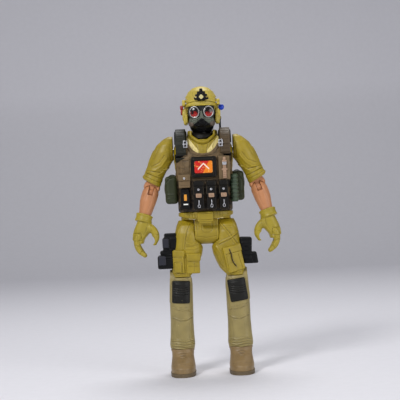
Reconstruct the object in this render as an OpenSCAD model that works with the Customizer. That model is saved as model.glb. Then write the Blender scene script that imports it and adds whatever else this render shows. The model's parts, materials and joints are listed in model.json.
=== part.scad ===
// Jointed toy soldier figure, about one sixth of life size, standing on its boots.
// +Z is up, the figure faces -Y, and the figure's own left side is at +X.
// Each module draws one sub-part where it sits at rest.

/* [Stance] */
// Height from the floor to the crown of the helmet
figure_h = 300; // [285:1:315]
// Height of the hip axle
hip_z = 147; // [146.5:0.1:147.5]
// Height of the knee pins
knee_z = 99; // [98.5:0.1:99.5]
// Distance of each shin's centre from the middle of the figure
leg_x = 29.5; // [29:0.1:30]

/* [Arms] */
// Height of the shoulder pegs
shoulder_z = 231; // [230:0.5:232]
// Half width of the torso where the arms meet it
torso_half_w = 31; // [30.8:0.1:31.2]
// Sideways distance of each elbow from the middle
elbow_x = 57; // [56.6:0.1:57.4]
// Height of the elbow pins
elbow_z = 190.6; // [190.2:0.1:190.8]
// Outward lean of the forearms, in degrees
forearm_splay = 17; // [15:0.5:18]
// Forward lean of the forearms, in degrees
forearm_lean = 8; // [6:0.5:10]
// Length of each forearm, from elbow pin to wrist end
forearm_len = 24.6; // [24.2:0.1:25]
// Radius of the round grip held open in each fist
grip_r = 5.2; // [4.8:0.1:5.4]

/* [Pins and gaps] */
// Radius of the hip axle
axle_r = 2.5; // [2:0.1:3]
// Radius of the shoulder pegs
shoulder_peg_r = 5; // [4.5:0.1:5.5]
// Radius of the knee pins
knee_pin_r = 2; // [1.6:0.1:2.2]
// Radius of the elbow pins
elbow_pin_r = 1.5; // [1.2:0.1:1.6]
// Radius of the neck and wrist posts
post_r = 3; // [2.6:0.1:3.2]
// Radial play of each turning pin in its hole
pin_play = 0.05; // [0.03:0.01:0.08]
// Gap between faces that swing past each other
swing_gap = 0.4; // [0.4:0.05:0.5]

/* [Hidden] */
$fn = 48;
design_h = 300;
stand_shift = 5;            // brings the middle of the figure's depth over the origin
wall = 2.2;                 // moulded wall of the torso shells
hip_gap_x = 12.6;           // inner face of each thigh
block_half_w = 12;          // half width of the hip block
block_r = 12.5;             // round underside of the hip block
block_top_r = 10.4;         // half depth of its square top, clear of the swinging thighs
arm_face_x = torso_half_w + swing_gap;
knee_barrel_r = 10;         // round top of each shin
knee_tongue_r = 7;
knee_fold_r = 17;           // hollow behind the knee that the bending shin folds into
elbow_tongue_r = 5.4;
elbow_tongue_w = 5;
wrist_r = 6.4;
chest_pouch_x = [-20, -7.6, 5.4, 18.6];   // columns of gear across the chest
olive = "#a99a35";
pale_olive = "#b8a85a";
brown = "#4b3e2c";
black = "#1b1b1c";
moss = "#44492f";
skin = "#c98a5e";
steel = "#8d8f94";

// ---------- shared shapes ----------

// A closed skin through flat rings, lowest first. Each ring is
// [height, centre x, centre y, half width, half depth, squareness], where 2 is an ellipse.
module loft(rings, sides = 24) {
    function bend(v, p) = sign(v) * pow(abs(v), 2 / p);
    points = [for (r = rings) for (i = [0 : sides - 1])
        [r[1] + r[3] * bend(cos(360 * i / sides), r[5]),
         r[2] + r[4] * bend(sin(360 * i / sides), r[5]),
         r[0]]];
    walls = [for (k = [0 : len(rings) - 2]) for (i = [0 : sides - 1])
        [k * sides + i, (k + 1) * sides + i,
         (k + 1) * sides + (i + 1) % sides, k * sides + (i + 1) % sides]];
    top = (len(rings) - 1) * sides;
    polyhedron(points, concat(walls,
        [[for (i = [0 : sides - 1]) i]],
        [[for (i = [sides - 1 : -1 : 0]) top + i]]));
}

// The same rings moved in or out all round
function grown(rings, by) =
    [for (r = rings) [r[0], r[1], r[2], r[3] + by, r[4] + by, r[5]]];

// A box with rounded upright edges and slightly eased ends
module soft_box(size, at) {
    ease = min(size) * 0.12;
    translate(at) loft([
        [-size[2] / 2, 0, 0, size[0] / 2 - ease, size[1] / 2 - ease, 6],
        [-size[2] / 2 + ease, 0, 0, size[0] / 2, size[1] / 2, 6],
        [size[2] / 2 - ease, 0, 0, size[0] / 2, size[1] / 2, 6],
        [size[2] / 2, 0, 0, size[0] / 2 - ease, size[1] / 2 - ease, 6]], 16);
}

module bar(r, length, at = [0, 0, 0]) {
    translate(at) rotate([0, 90, 0]) cylinder(r = r, h = length, center = true);
}

module rod_y(r, length, at = [0, 0, 0]) {
    translate(at) rotate([90, 0, 0]) cylinder(r = r, h = length, center = true);
}

module block(from, to) {
    translate(from) cube([for (i = [0 : 2]) to[i] - from[i]]);
}

module on_side(side) {
    if (side == "right") mirror([1, 0, 0]) children();
    else children();
}

// ---------- torso ----------

torso_rings = [
    [161, 0, 1, 25.8, 15.8, 2.6], [172, 0, 1, 26, 16.2, 2.6],
    [190, 0, 1, 26, 16.8, 2.6], [208, 0, 0, 28.6, 17.8, 2.6],
    [222, 0, 0, 31.2, 18, 2.8], [234, 0, 0, 31.8, 16.4, 2.8],
    [242, 0, 1, 28, 14.4, 2.5], [247, 0, 1, 19.5, 13.4, 2.3]];
collar_rings = [
    [239, 0, 0.5, 20.5, 15.4, 2.2], [246, 0, 0.5, 17.4, 14.6, 2.2],
    [253.6, 0, 1, 15.6, 14, 2.2]];
collar_bore = [[243, 0, 1, 12.8, 11.9, 2.2], [254.6, 0, 1, 12.8, 11.9, 2.2]];
cavity_rings = [
    [163, 0, 1, 23.6, 13.6, 2.6], [190, 0, 1, 23.8, 14.6, 2.6],
    [208, 0, 0, 26.4, 15.6, 2.6], [222, 0, 0, 29, 15.8, 2.8],
    [234, 0, 0, 29.6, 14.2, 2.8], [239, 0, 0.6, 26.8, 12.6, 2.6]];
neck_foot_z = 236;          // underside of the neck post's foot
neck_socket_h = 8.7;        // height of the socket that holds it

module torso_solid() {
    intersection() {
        loft(torso_rings, 28);
        block([-torso_half_w, -40, 150], [torso_half_w, 40, 260]);
    }
}

module torso_cavity() {
    intersection() {
        loft(cavity_rings, 28);
        block([-(torso_half_w - wall), -40, 150], [torso_half_w - wall, 40, 260]);
    }
}

// Open V at the front of the collar
module collar_notch() {
    translate([0, -20, 244]) rotate([90, 0, 0]) linear_extrude(26, center = true)
        polygon([[-1.5, 0], [1.5, 0], [11.5, 6], [12.2, 14], [-12.2, 14], [-11.5, 6]]);
}

screw_places = [for (x = [-17, 17]) for (z = [180, 215]) [x, z]];

// Round foot of the neck post, and the socket that it fills
module neck_foot() {
    translate([0, 0, neck_foot_z]) {
        cylinder(r = 7.6, h = 2.5);
        cylinder(r = 6, h = 16);
    }
}

module torso_shells() {
    difference() {
        union() {
            difference() {
                union() {
                    torso_solid();
                    loft(collar_rings, 28);
                }
                loft(collar_bore, 28);
                collar_notch();
                torso_cavity();
            }
            for (p = screw_places) intersection() {
                rod_y(3, 34, [p[0], 0, p[1]]);
                torso_solid();
            }
            translate([0, 0, neck_foot_z - wall]) cylinder(r = 10, h = neck_socket_h);
        }
        for (s = [-1, 1])
            bar(shoulder_peg_r + pin_play, 8, [s * (torso_half_w - 1), 0, shoulder_z]);
        neck_foot();
    }
}

module torso_front() {
    color(pale_olive) difference() {
        intersection() {
            torso_shells();
            block([-40, -30, 150], [40, 0, 262]);
        }
        for (p = screw_places) rod_y(1, 16, [p[0], 0, p[1]]);
    }
}

module torso_back() {
    color(olive) difference() {
        intersection() {
            torso_shells();
            block([-40, 0, 150], [40, 30, 262]);
        }
        for (p = screw_places) {
            rod_y(1.3, 60, [p[0], 20, p[1]]);
            rod_y(2.2, 30, [p[0], 12 + 15, p[1]]);
        }
    }
}

// Four self-tapping screws that close the torso from behind
module torso_screws() {
    color(steel) for (p = screw_places) {
        rod_y(0.95, 12, [p[0], 6, p[1]]);
        rod_y(2, 1.8, [p[0], 12.9, p[1]]);
    }
}

// Post that the head turns on, with its foot clamped between the torso shells
module neck_post() {
    color(black) {
        neck_foot();
        translate([0, 0, 250]) cylinder(r = post_r + 1.5, h = 13.5);
    }
}

module neck_scarf() {
    color(black) difference() {
        loft([[243.2, 0, 0.6, 12.3, 11.3, 2.2], [246, 0, 0.4, 12.4, 11.3, 2.2],
              [250, 0, 1, 12, 11, 2.2], [251.6, 0, 1, 10.5, 9.8, 2.2]], 24);
        translate([0, 0, 230]) cylinder(r = 6, h = 30);
    }
}

// ---------- hips and belt ----------

module hip_block() {
    color(olive) difference() {
        union() {
            bar(block_r, 2 * block_half_w, [0, 0, hip_z]);
            block([-block_half_w, -block_top_r, hip_z], [block_half_w, block_top_r, 160.9]);
        }
        bar(axle_r, 60, [0, 0, hip_z]);
    }
}

module hip_axle() {
    color(steel) bar(axle_r, 46, [0, 0, hip_z]);
}

module belt() {
    color(olive) difference() {
        loft([[161, 0, 1, 27.6, 17.8, 2.6], [162, 0, 1, 28.2, 18.3, 2.6],
              [167.8, 0, 1, 28.2, 18.3, 2.6], [168.8, 0, 1, 27.6, 17.8, 2.6]], 28);
        loft(torso_rings, 28);
    }
}

module belt_buckle() {
    color(olive) difference() {
        union() {
            soft_box([16, 4, 10.4], [0, -18.3, 163.6]);
            soft_box([9, 2.4, 4], [0, -15.6, 157.6]);
        }
        loft([[150, 0, 1, 27.6, 17.8, 2.6], [162, 0, 1, 28.2, 18.3, 2.6],
              [167.8, 0, 1, 28.2, 18.3, 2.6], [175, 0, 1, 27.6, 17.8, 2.6]], 28);
    }
}

// ---------- vest ----------

vest_rings = [
    [169, 0, 0.6, 27.8, 19.2, 3.2], [171, 0, 0.6, 28.5, 20, 3.2],
    [185, 0, 0.6, 28.6, 20.6, 3.2], [200, 0, 0.3, 29.6, 21.4, 3.2],
    [216, 0, 0, 30.4, 21.8, 3.2], [228, 0, 0, 30.6, 21, 3.2],
    [239, 0, 0.5, 30.2, 19.4, 3]];

module vest_solid() {
    loft(vest_rings, 28);
}

// Space kept free for each arm to swing, and the round neckline
module vest_openings(front) {
    for (s = [-1, 1]) {
        translate([s * 35.2, 0, shoulder_z + 3]) rotate([90, 0, 0])
            cylinder(r = 14, h = 60, center = true);
        block([s > 0 ? 29.2 : -40, -40, 210], [s > 0 ? 40 : -29.2, 40, 260]);
    }
    translate([0, front ? -20 : 20, front ? 243 : 247]) rotate([90, 0, 0])
        cylinder(r = 15.2, h = 40, center = true);
}

module vest_half(front) {
    difference() {
        vest_solid();
        loft(torso_rings, 28);
        vest_openings(front);
        if (front) block([-60, 0.4, 150], [60, 60, 260]);
        else block([-60, -60, 150], [60, 0.4, 260]);
    }
}

module vest_front() {
    color(brown) vest_half(true);
}

module vest_back() {
    color(brown) vest_half(false);
}

// Side view of a strap that arches over the shoulder, from half depth and crown height
module strap_arch(depth, crown, thickness, foot) {
    outer = [for (a = [0 : 15 : 180]) [depth * cos(a), 236 + (crown - 236) * sin(a)]];
    inner = [for (a = [180 : -15 : 0])
        [(depth - thickness) * cos(a), 236 + (crown - thickness - 236) * sin(a)]];
    polygon(concat([[depth, foot]], outer, [[-depth, foot], [-depth + thickness, foot]],
        inner, [[depth - thickness, foot]]));
}

module strap_pair(depth, crown, thickness, foot, inner_x, outer_x) {
    for (s = [-1, 1])
        translate([s * (inner_x + outer_x) / 2, 0, 0])
            rotate([90, 0, 90]) linear_extrude(outer_x - inner_x, center = true)
                strap_arch(depth, crown, thickness, foot);
}

module strap_pads() {
    color(black) intersection() {
        strap_pair(21, 253.6, 3.2, 230, 16.6, 29.4);
        block([-40, -30, 239], [40, 30, 260]);
    }
}

module strap_covers() {
    color(brown) difference() {
        strap_pair(23.4, 256, 2.4, 229, 17.6, 28.4);
        vest_solid();
    }
}

module strap_buckles() {
    color(steel) for (s = [-1, 1]) difference() {
        soft_box([4.6, 2.6, 6], [s * 18.6, -24, 236]);
        strap_pair(23.4, 256, 2.4, 229, 17.6, 28.4);
        vest_solid();
    }
}

// ---------- gear on the vest ----------

module chest_panel() {
    color(brown) difference() {
        soft_box([27, 8, 20], [0, -21.2, 214]);
        vest_solid();
    }
}

module chest_patch() {
    color("#c8381f") difference() {
        soft_box([19, 2, 13.6], [0, -25.5, 215.4]);
        soft_box([27, 8, 20], [0, -21.2, 214]);
    }
}

module chest_knife() {
    color("#a3846a") difference() {
        union() {
            soft_box([8.6, 5, 24.4], [20.6, -20.6, 213.2]);
            soft_box([4.6, 5, 9], [20.6, -22.8, 206]);
            soft_box([5.6, 5.6, 8], [20.6, -22.8, 214.2]);
            soft_box([4, 4.6, 7], [20.6, -22.8, 221]);
        }
        vest_solid();
    }
}

module magazine_pouches() {
    color(black) difference() {
        for (i = [1 : 3]) {
            y = i == 3 ? -21.6 : -23;
            soft_box([10.8, 9, 21], [chest_pouch_x[i], y, 182.5]);
            soft_box([10.2, 7.6, 7.6], [chest_pouch_x[i], y, 196.8]);
        }
        vest_solid();
    }
}

function pouch_front(i) = (i == 3 ? -21.6 : -23) - 4.5;

module pouch_snaps() {
    color(steel) {
        for (i = [1 : 3])
            rod_y(1.1, 1.2, [chest_pouch_x[i], pouch_front(i) - 0.6, 190.4]);
        rod_y(1.1, 1.2, [chest_pouch_x[0], -25.4, 201]);
    }
}

module pouch_clips() {
    color("#9c8876") for (i = [1 : 3])
        block([chest_pouch_x[i] - 2.8, pouch_front(i) - 1.4, 183.4],
              [chest_pouch_x[i] + 2.8, pouch_front(i), 187.8]);
}

// Small snap hooks that hang under the clips
module pouch_hooks() {
    color(steel) for (i = [1 : 3]) translate([chest_pouch_x[i], pouch_front(i) - 0.6, 176.4])
        rotate([90, 0, 0]) linear_extrude(1.2, center = true) {
            difference() {
                circle(r = 1.8);
                circle(r = 0.9);
            }
            translate([-0.6, 1.5]) square([1.2, 4.6]);
        }
}

module snap_pouch() {
    color(brown) difference() {
        soft_box([12, 9, 13.4], [chest_pouch_x[0], -20.3, 200.6]);
        vest_solid();
    }
}

module chest_radio() {
    color(black) difference() {
        soft_box([10, 9, 20.4], [chest_pouch_x[0], -20.4, 182.6]);
        vest_solid();
    }
}

module right_side_pouch() {
    color(moss) difference() {
        union() {
            soft_box([14, 26, 31], [-33.4, 2, 192]);
            rotate([0, 90, 0]) translate([-192, 2, -42.4]) cylinder(r1 = 9, r2 = 11.5, h = 3);
        }
        vest_solid();
    }
}

module left_side_pouch() {
    color(moss) difference() {
        union() {
            soft_box([14, 22, 32], [33.4, 6.6, 194]);
            rotate([0, 90, 0]) translate([-196, 6.6, 39.6]) cylinder(r1 = 10, r2 = 8, h = 3);
        }
        vest_solid();
    }
}

module smoke_canister() {
    color(moss) translate([30.8, -10.4, 0]) difference() {
        union() {
            translate([0, 0, 178]) cylinder(r = 3.9, h = 29);
            for (z = [180.5 : 4.6 : 205]) translate([0, 0, z]) cylinder(r = 4.4, h = 1.8);
        }
        translate([-30.8, 10.4, 0]) {
            vest_solid();
            soft_box([14, 22, 32], [33.4, 6.6, 194]);
        }
    }
}

module radio_antenna() {
    color(black) translate([19.4, 16.4, 0]) {
        translate([0, 0, 253]) cylinder(r = 1.2, h = 13);
        translate([0, 0, 266]) cylinder(r = 1.6, h = 3.4);
    }
}

// ---------- head ----------

head_rings = [
    [252.2, 0, 1, 9.5, 9.6, 2], [255.6, 0, 0.4, 12, 12, 2.1],
    [262, 0, 1, 13.6, 15, 2.2], [272, 0, 1.5, 14.4, 16, 2.2],
    [284, 0, 1.8, 14.4, 16.4, 2.2], [292, 0, 1.8, 11.4, 13, 2.1], [296.6, 0, 1.8, 5.5, 6.5, 2]];
helmet_rings = [
    [263, 0, 3.6, 16.6, 17.6, 2.2], [268, 0, 2.4, 17.4, 19.4, 2.2],
    [278, 0, 1.6, 17.8, 21, 2.2], [287, 0, 1.6, 16.8, 20.4, 2.2],
    [294, 0, 1.6, 13.2, 16.4, 2.1], [298, 0, 1.6, 8.6, 11, 2], [300, 0, 1.6, 3.4, 4.4, 2]];

module head_core() {
    color(black) difference() {
        loft(head_rings, 24);
        translate([0, 0, 245]) cylinder(r = post_r + 1.5 + pin_play, h = 19);
    }
}

module helmet() {
    color(olive) difference() {
        loft(helmet_rings, 32);
        loft(grown(head_rings, 0.2), 24);
        block([-30, -40, 250], [30, -5, 279]);
        translate([0, 0, 250]) cylinder(r = 15.2, h = 14);
    }
}

module helmet_mount() {
    color(black) difference() {
        union() {
            soft_box([13, 6, 8.4], [0, -20.4, 287.2]);
            soft_box([5.6, 6, 3.6], [0, -18.4, 292]);
        }
        loft(helmet_rings, 32);
    }
}

module helmet_rails() {
    color(olive) for (s = [-1, 1]) difference() {
        soft_box([4.4, 17, 6.4], [s * 17.6, -4, 282]);
        loft(helmet_rings, 32);
        loft(grown(head_rings, 0.2), 24);
    }
}

module ear_guards() {
    color(olive) for (s = [-1, 1]) difference() {
        bar(6.2, 5, [s * 17.4, -1, 271]);
        loft(helmet_rings, 32);
        loft(grown(head_rings, 0.2), 24);
    }
}

module red_ear_knob() {
    color("#8e2f22") bar(3.6, 1.6, [-20.7, -1, 272.6]);
}

module blue_ear_knob() {
    color("#0c3f9a") difference() {
        rod_y(3.1, 4, [20.4, -5.4, 276.6]);
        loft(helmet_rings, 32);
        bar(6.2, 5, [17.4, -1, 271]);
        soft_box([4.4, 17, 6.4], [17.6, -4, 282]);
    }
}

module mask_solid() {
    loft([[255.2, 0, -5.4, 8.4, 9.6, 2.2], [258, 0, -6, 11.6, 12, 2.3],
          [264, 0, -6, 13.2, 13.2, 2.4], [272, 0, -6, 13.4, 13.4, 2.5],
          [278.9, 0, -6, 13.2, 12.6, 2.5]], 24);
}

module gas_mask() {
    color("#3b3d38") difference() {
        mask_solid();
        loft(grown(head_rings, 0.05), 24);
        block([-30, -1, 240], [30, 40, 300]);
        loft(helmet_rings, 32);
    }
}

module mask_valve() {
    color(black) difference() {
        union() {
            rod_y(4.6, 7, [0, -18.6, 262.4]);
            soft_box([7, 6, 7], [0, -18.4, 262.4]);
        }
        mask_solid();
    }
}

module mask_filters() {
    color("#54473e") for (s = [-1, 1]) difference() {
        translate([s * 9.6, -13.4, 261.6]) rotate([94, 0, s * 48]) cylinder(r = 4, h = 6);
        mask_solid();
        loft(grown(head_rings, 0.05), 24);
    }
}

module lens_place(s) {
    translate([s * 7.3, -16.6, 272]) rotate([90, 0, s * 12]) children();
}

module lens_rings() {
    color(steel) for (s = [-1, 1]) difference() {
        lens_place(s) difference() {
            cylinder(r = 5.4, h = 4.2);
            translate([0, 0, -1]) cylinder(r = 4.3, h = 8);
        }
        mask_solid();
    }
}

module lenses() {
    color("#5b0f0c") for (s = [-1, 1]) difference() {
        lens_place(s) cylinder(r = 4.3, h = 3.3);
        mask_solid();
    }
}

// ---------- arms, drawn for the figure's left side ----------

module at_elbow() {
    translate([elbow_x, 0, elbow_z]) rotate([0, -forearm_splay, 0]) children();
}

module at_forearm() {
    at_elbow() rotate([-forearm_lean, 0, 0]) children();
}

sleeve_rings = [
    [194, 56, 0, 10, 9.8, 2], [203, 54, 0, 10.4, 10.2, 2],
    [212, 50.8, 0, 11, 10.4, 2], [222, 45, 0, 12, 11.4, 2],
    [234, 40, 0, 11.8, 12.2, 2.1], [242, 37, 0, 9.6, 10.8, 2], [248, 34, 0, 3.4, 5.6, 2]];
sleeve_edge = [56, 0, 200.8];   // middle of the sleeve's open end
sleeve_slant = 29;              // its outer side is higher than its inner side
elbow_tongue_l = 16;

module upper_arm() {
    color(olive) difference() {
        union() {
            loft(sleeve_rings, 24);
            bar(13, 6, [arm_face_x + 3, 0, shoulder_z]);
        }
        block([0, -30, 180], [arm_face_x, 30, 260]);
        bar(shoulder_peg_r, 10, [arm_face_x, 0, shoulder_z]);
        translate(sleeve_edge) rotate([0, -sleeve_slant, 0]) block([-30, -30, -30], [30, 30, 0]);
        at_elbow() block([-elbow_tongue_w / 2, -3.6, 0], [elbow_tongue_w / 2, 3.6, elbow_tongue_l]);
    }
}

// Headed peg, fixed in the arm, that turns in the side of the torso
module shoulder_peg() {
    color(steel) {
        bar(shoulder_peg_r, 12, [arm_face_x - 1, 0, shoulder_z]);
        bar(shoulder_peg_r + 0.8, 1.8, [torso_half_w - wall - 3, 0, shoulder_z]);
    }
}

// Skin-coloured tongue, fixed in the sleeve, that the forearm folds round
module elbow_link() {
    color(skin) at_elbow() difference() {
        union() {
            bar(elbow_tongue_r, elbow_tongue_w);
            block([-elbow_tongue_w / 2, -3.6, 0],
                  [elbow_tongue_w / 2, 3.6, elbow_tongue_l - 0.2]);
        }
        bar(elbow_pin_r + pin_play, 20);
    }
}

module elbow_pin() {
    color(steel) at_elbow() bar(elbow_pin_r, 15);
}

forearm_rings = [
    [-20.6, 0, 0, 6.9, 6.8, 2], [-17, 0, 0, 7.2, 7, 2],
    [-11, 0.3, 0, 8.1, 7.9, 2], [-5, 0.2, 0, 8.4, 8.3, 2], [0, 0, 0, 8.5, 8.5, 2],
    [4, 0, 0, 7.4, 7.4, 2], [7, 0, 0, 4.8, 4.8, 2], [8.4, 0, 0, 1.6, 1.6, 2]];

module forearm() {
    color(skin) at_forearm() difference() {
        union() {
            loft(forearm_rings, 24);
            translate([0, 0, -forearm_len]) cylinder(r = wrist_r, h = 7);
        }
        bar(elbow_pin_r, 20);
        bar(elbow_tongue_r + swing_gap, elbow_tongue_w + swing_gap);
        block([-(elbow_tongue_w + swing_gap) / 2, -20, -elbow_tongue_r - swing_gap],
              [(elbow_tongue_w + swing_gap) / 2, 0, 20]);
        block([-(elbow_tongue_w + swing_gap) / 2, -20, -1],
              [(elbow_tongue_w + swing_gap) / 2, 5, 20]);
        translate([0, 0, -forearm_len - 1]) cylinder(r = post_r + pin_play, h = 9.5);
    }
}

// The hand hangs upright from the leaning wrist. Outward is +X and the thumb is on the inside.
module at_wrist() {
    at_forearm() translate([0, 0, -forearm_len]) children();
}

module upright_at_wrist() {
    at_wrist() rotate([forearm_lean, 0, 0]) rotate([0, forearm_splay, 0]) children();
}

grip_at = [-4.4, 0, -26.5];
palm_rings = [
    [-26, 5.4, 0, 5.8, 8.2, 3], [-21, 4.4, 0, 8.4, 8.6, 3],
    [-14, 2, 0, 8.2, 8.2, 2.8], [-8, 0.9, 0, 7.2, 7.4, 2.4], [-4, 0.4, 0, 6.8, 7, 2]];

module finger_joint(x, z, r, from_y, to_y) {
    translate([x, (from_y + to_y) / 2, z]) rotate([90, 0, 0])
        cylinder(r = r, h = to_y - from_y, center = true, $fn = 20);
}

module hand() {
    color(olive) difference() {
        union() {
            at_wrist() {
                translate([0, 0, -7]) cylinder(r = 8.6, h = 10);
                translate([0, 0, -4]) cylinder(r = post_r, h = 11.5);
            }
            upright_at_wrist() {
                loft(palm_rings, 20);
                hull() {
                    finger_joint(8, -22, 4.4, -8, 8);
                    finger_joint(5.4, -32.4, 3.8, -7.8, 7.8);
                }
                hull() {
                    finger_joint(5.4, -32.4, 3.8, -7.8, 7.8);
                    finger_joint(0.4, -38.4, 2.8, -7.2, 7.2);
                }
                hull() {
                    finger_joint(-1, -12, 4.6, -7.4, 1);
                    finger_joint(-10.6, -16.8, 3.6, -7.2, -0.6);
                }
                hull() {
                    finger_joint(-10.6, -16.8, 3.6, -7.2, -0.6);
                    finger_joint(-11.8, -27, 2.7, -6.8, -1.4);
                }
            }
        }
        upright_at_wrist() rod_y(grip_r, 40, grip_at);
        at_wrist() difference() {
            translate([0, 0, -swing_gap / 2]) cylinder(r = wrist_r + 0.25, h = 6);
            translate([0, 0, -2]) cylinder(r = post_r, h = 12);
        }
    }
}

// ---------- legs, drawn for the figure's left side ----------

thigh_rings = [
    [101.6, 27.2, 0, 11.8, 12.2, 2.6], [108, 25.6, 0, 13, 12.9, 2.6],
    [116, 23.2, 0, 14.4, 13.2, 2.6], [124, 21.4, 0, 15.6, 13.3, 2.6],
    [131, 20.4, 0, 15.8, 13.2, 2.6], [137, 20.6, 0, 14.4, 13, 2.6],
    [147, 21.4, 0, 12, 12.8, 2.5], [155, 20.8, 0, 10, 10.2, 2.3], [159.8, 20.2, 0, 7.6, 4.4, 2]];

module at_knee() {
    translate([leg_x, 0, knee_z]) children();
}

module thigh_solid() {
    difference() {
        loft(thigh_rings, 28);
        bar(block_r + 0.6 + swing_gap, 60, [hip_gap_x - 30, 0, hip_z]);
        block([-40, -30, hip_z], [hip_gap_x, 30, 170]);
    }
}

module thigh() {
    color(olive) difference() {
        union() {
            difference() {
                thigh_solid();
                at_knee() bar(knee_barrel_r + swing_gap, 60);
                at_knee() intersection() {
                    bar(knee_fold_r, 60);
                    block([-30, 0, -20], [30, 30, 30]);
                }
            }
            at_knee() {
                bar(knee_tongue_r, 8);
                block([-4, -6, 0], [4, 6, 17]);
            }
        }
        bar(axle_r + pin_play, 24, [23.4 - 12 + 0.2, 0, hip_z]);
        at_knee() bar(knee_pin_r + pin_play, 30);
    }
}

shin_rings = [
    [27, 30.5, 0, 12.6, 12.8, 2.6], [31, 30.4, 0, 13.2, 13.4, 2.6],
    [40, 30.2, 0, 12.4, 12.8, 2.6], [54, 30, 0.6, 11.9, 13, 2.6],
    [70, 29.8, 0.6, 12, 13, 2.6], [84, 29.6, 0, 12, 12.4, 2.6],
    [93, 29.5, 0, 11.8, 12, 2.8], [101, 29.5, 0, 11.2, 11.6, 2.8]];

module shin_solid() {
    difference() {
        loft(shin_rings, 28);
        at_knee() difference() {
            block([-30, 0, -9], [30, 30, 20]);
            bar(knee_barrel_r, 60);
        }
        at_knee() difference() {
            block([-30, -10.6, -1], [30, 1, 20]);
            bar(knee_barrel_r, 60);
        }
    }
}

module shin() {
    color(olive) difference() {
        union() {
            shin_solid();
            at_knee() bar(knee_barrel_r, 21.6);
        }
        at_knee() {
            bar(knee_tongue_r + swing_gap, 8 + swing_gap);
            block([-4 - swing_gap / 2, -6.4, 0], [4 + swing_gap / 2, 40, 20]);
            block([-4 - swing_gap / 2, 0, -knee_tongue_r - swing_gap], [4 + swing_gap / 2, 40, 20]);
            bar(knee_pin_r, 30);
        }
    }
}

module knee_pin() {
    color(steel) at_knee() bar(knee_pin_r, 21.4);
}

module knee_pad() {
    color(black) difference() {
        soft_box([20.5, 5, 26], [leg_x, -12.4, 85.6]);
        shin_solid();
    }
}

module boot() {
    color("#8a7350") {
        linear_extrude(3.5) {
            translate([30.5, -20]) circle(r = 13.4);
            translate([30.5, 5.2]) circle(r = 11.6);
            polygon([[17.1, -20], [43.9, -20], [42.1, 5.2], [18.9, 5.2]]);
        }
        loft([[3.5, 30.5, -7.6, 12.6, 24.2, 2.8], [9, 30.5, -7.4, 12.8, 24, 2.6],
              [14, 30.5, -5.4, 12, 20.6, 2.4], [19, 30.5, -1.4, 11.4, 15.4, 2.4],
              [23, 30.5, 0.2, 11.6, 13, 2.6], [27, 30.5, 0.4, 11.8, 12.4, 2.6]], 24);
    }
}

module right_thigh_solid() {
    mirror([1, 0, 0]) thigh_solid();
}

// Black twin pouch on the right thigh
module leg_pouches() {
    color(black) difference() {
        union() {
            soft_box([17, 19, 25], [-38.8, -1, 134.5]);
            soft_box([22, 21, 20.5], [-42.4, -1, 111.8]);
        }
        right_thigh_solid();
        mirror([1, 0, 0]) at_knee() bar(16, 60);
    }
}

// Holster strapped to the outside of the left thigh
module left_holster() {
    color(black) difference() {
        union() {
            soft_box([15, 17, 22], [39.4, -1, 128.6]);
            soft_box([19, 14, 12], [43.4, -1, 113.4]);
        }
        thigh_solid();
        at_knee() bar(16, 60);
    }
}

module right_cargo_pockets() {
    color(olive) difference() {
        union() {
            translate([-30.6, -8.8, 118]) rotate([0, 0, -38]) soft_box([12, 8, 24], [0, 0, 0]);
            soft_box([15, 6, 19], [-16.4, -13.2, 117.4]);
        }
        right_thigh_solid();
        leg_pouches();
    }
}

module left_cargo_pocket() {
    color(olive) difference() {
        translate([22.6, -12.6, 118]) rotate([0, 0, 8]) soft_box([20, 7, 27], [0, 0, 0]);
        thigh_solid();
    }
}

// ---------- nodes ----------

module placed() {
    scale(figure_h / design_h) translate([0, stand_shift, 0]) children();
}

placed() torso_front();
placed() torso_back();
placed() torso_screws();
placed() neck_post();
placed() neck_scarf();
placed() hip_block();
placed() hip_axle();
placed() belt();
placed() belt_buckle();
placed() vest_front();
placed() vest_back();
placed() strap_pads();
placed() strap_covers();
placed() strap_buckles();
placed() { chest_panel(); snap_pouch(); }  // chest_pouches
placed() chest_patch();
placed() chest_knife();
placed() magazine_pouches();
placed() pouch_clips();
placed() { pouch_snaps(); pouch_hooks(); }  // pouch_fittings
placed() { chest_radio(); radio_antenna(); }  // radio
placed() { right_side_pouch(); left_side_pouch(); }  // side_pouches
placed() smoke_canister();
placed() head_core();
placed() helmet();
placed() helmet_mount();
placed() { helmet_rails(); ear_guards(); }
placed() red_ear_knob();
placed() blue_ear_knob();
placed() gas_mask();
placed() { mask_valve(); mask_filters(); }
placed() lens_rings();
placed() lenses();
for (side = ["right", "left"]) {
    placed() on_side(side) upper_arm();
    placed() on_side(side) shoulder_peg();
    placed() on_side(side) elbow_link();
    placed() on_side(side) forearm();
    placed() on_side(side) elbow_pin();
    placed() on_side(side) hand();
    placed() on_side(side) thigh();
    placed() on_side(side) shin();
    placed() on_side(side) knee_pin();
    placed() on_side(side) knee_pad();
    placed() on_side(side) boot();
}
placed() right_cargo_pockets();
placed() left_cargo_pocket();
placed() leg_pouches();
placed() left_holster();
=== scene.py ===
# %% [markdown]
# # A jointed toy soldier
# This lesson dresses a working toy figure. The frame already holds every part at its real size, with
# joints at the neck, shoulders, elbows, wrists, hips and knees. Here each visible part gets its moulded
# folds, seams, stitches and paint. Soft-looking plastic is best made like clay: simple solids are pressed
# together, melted into one skin, and then worked with strokes of a modelling tool.

# %% Load the frame
import json
import math

import bpy
import numpy as np
from mathutils import Matrix, Vector


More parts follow.
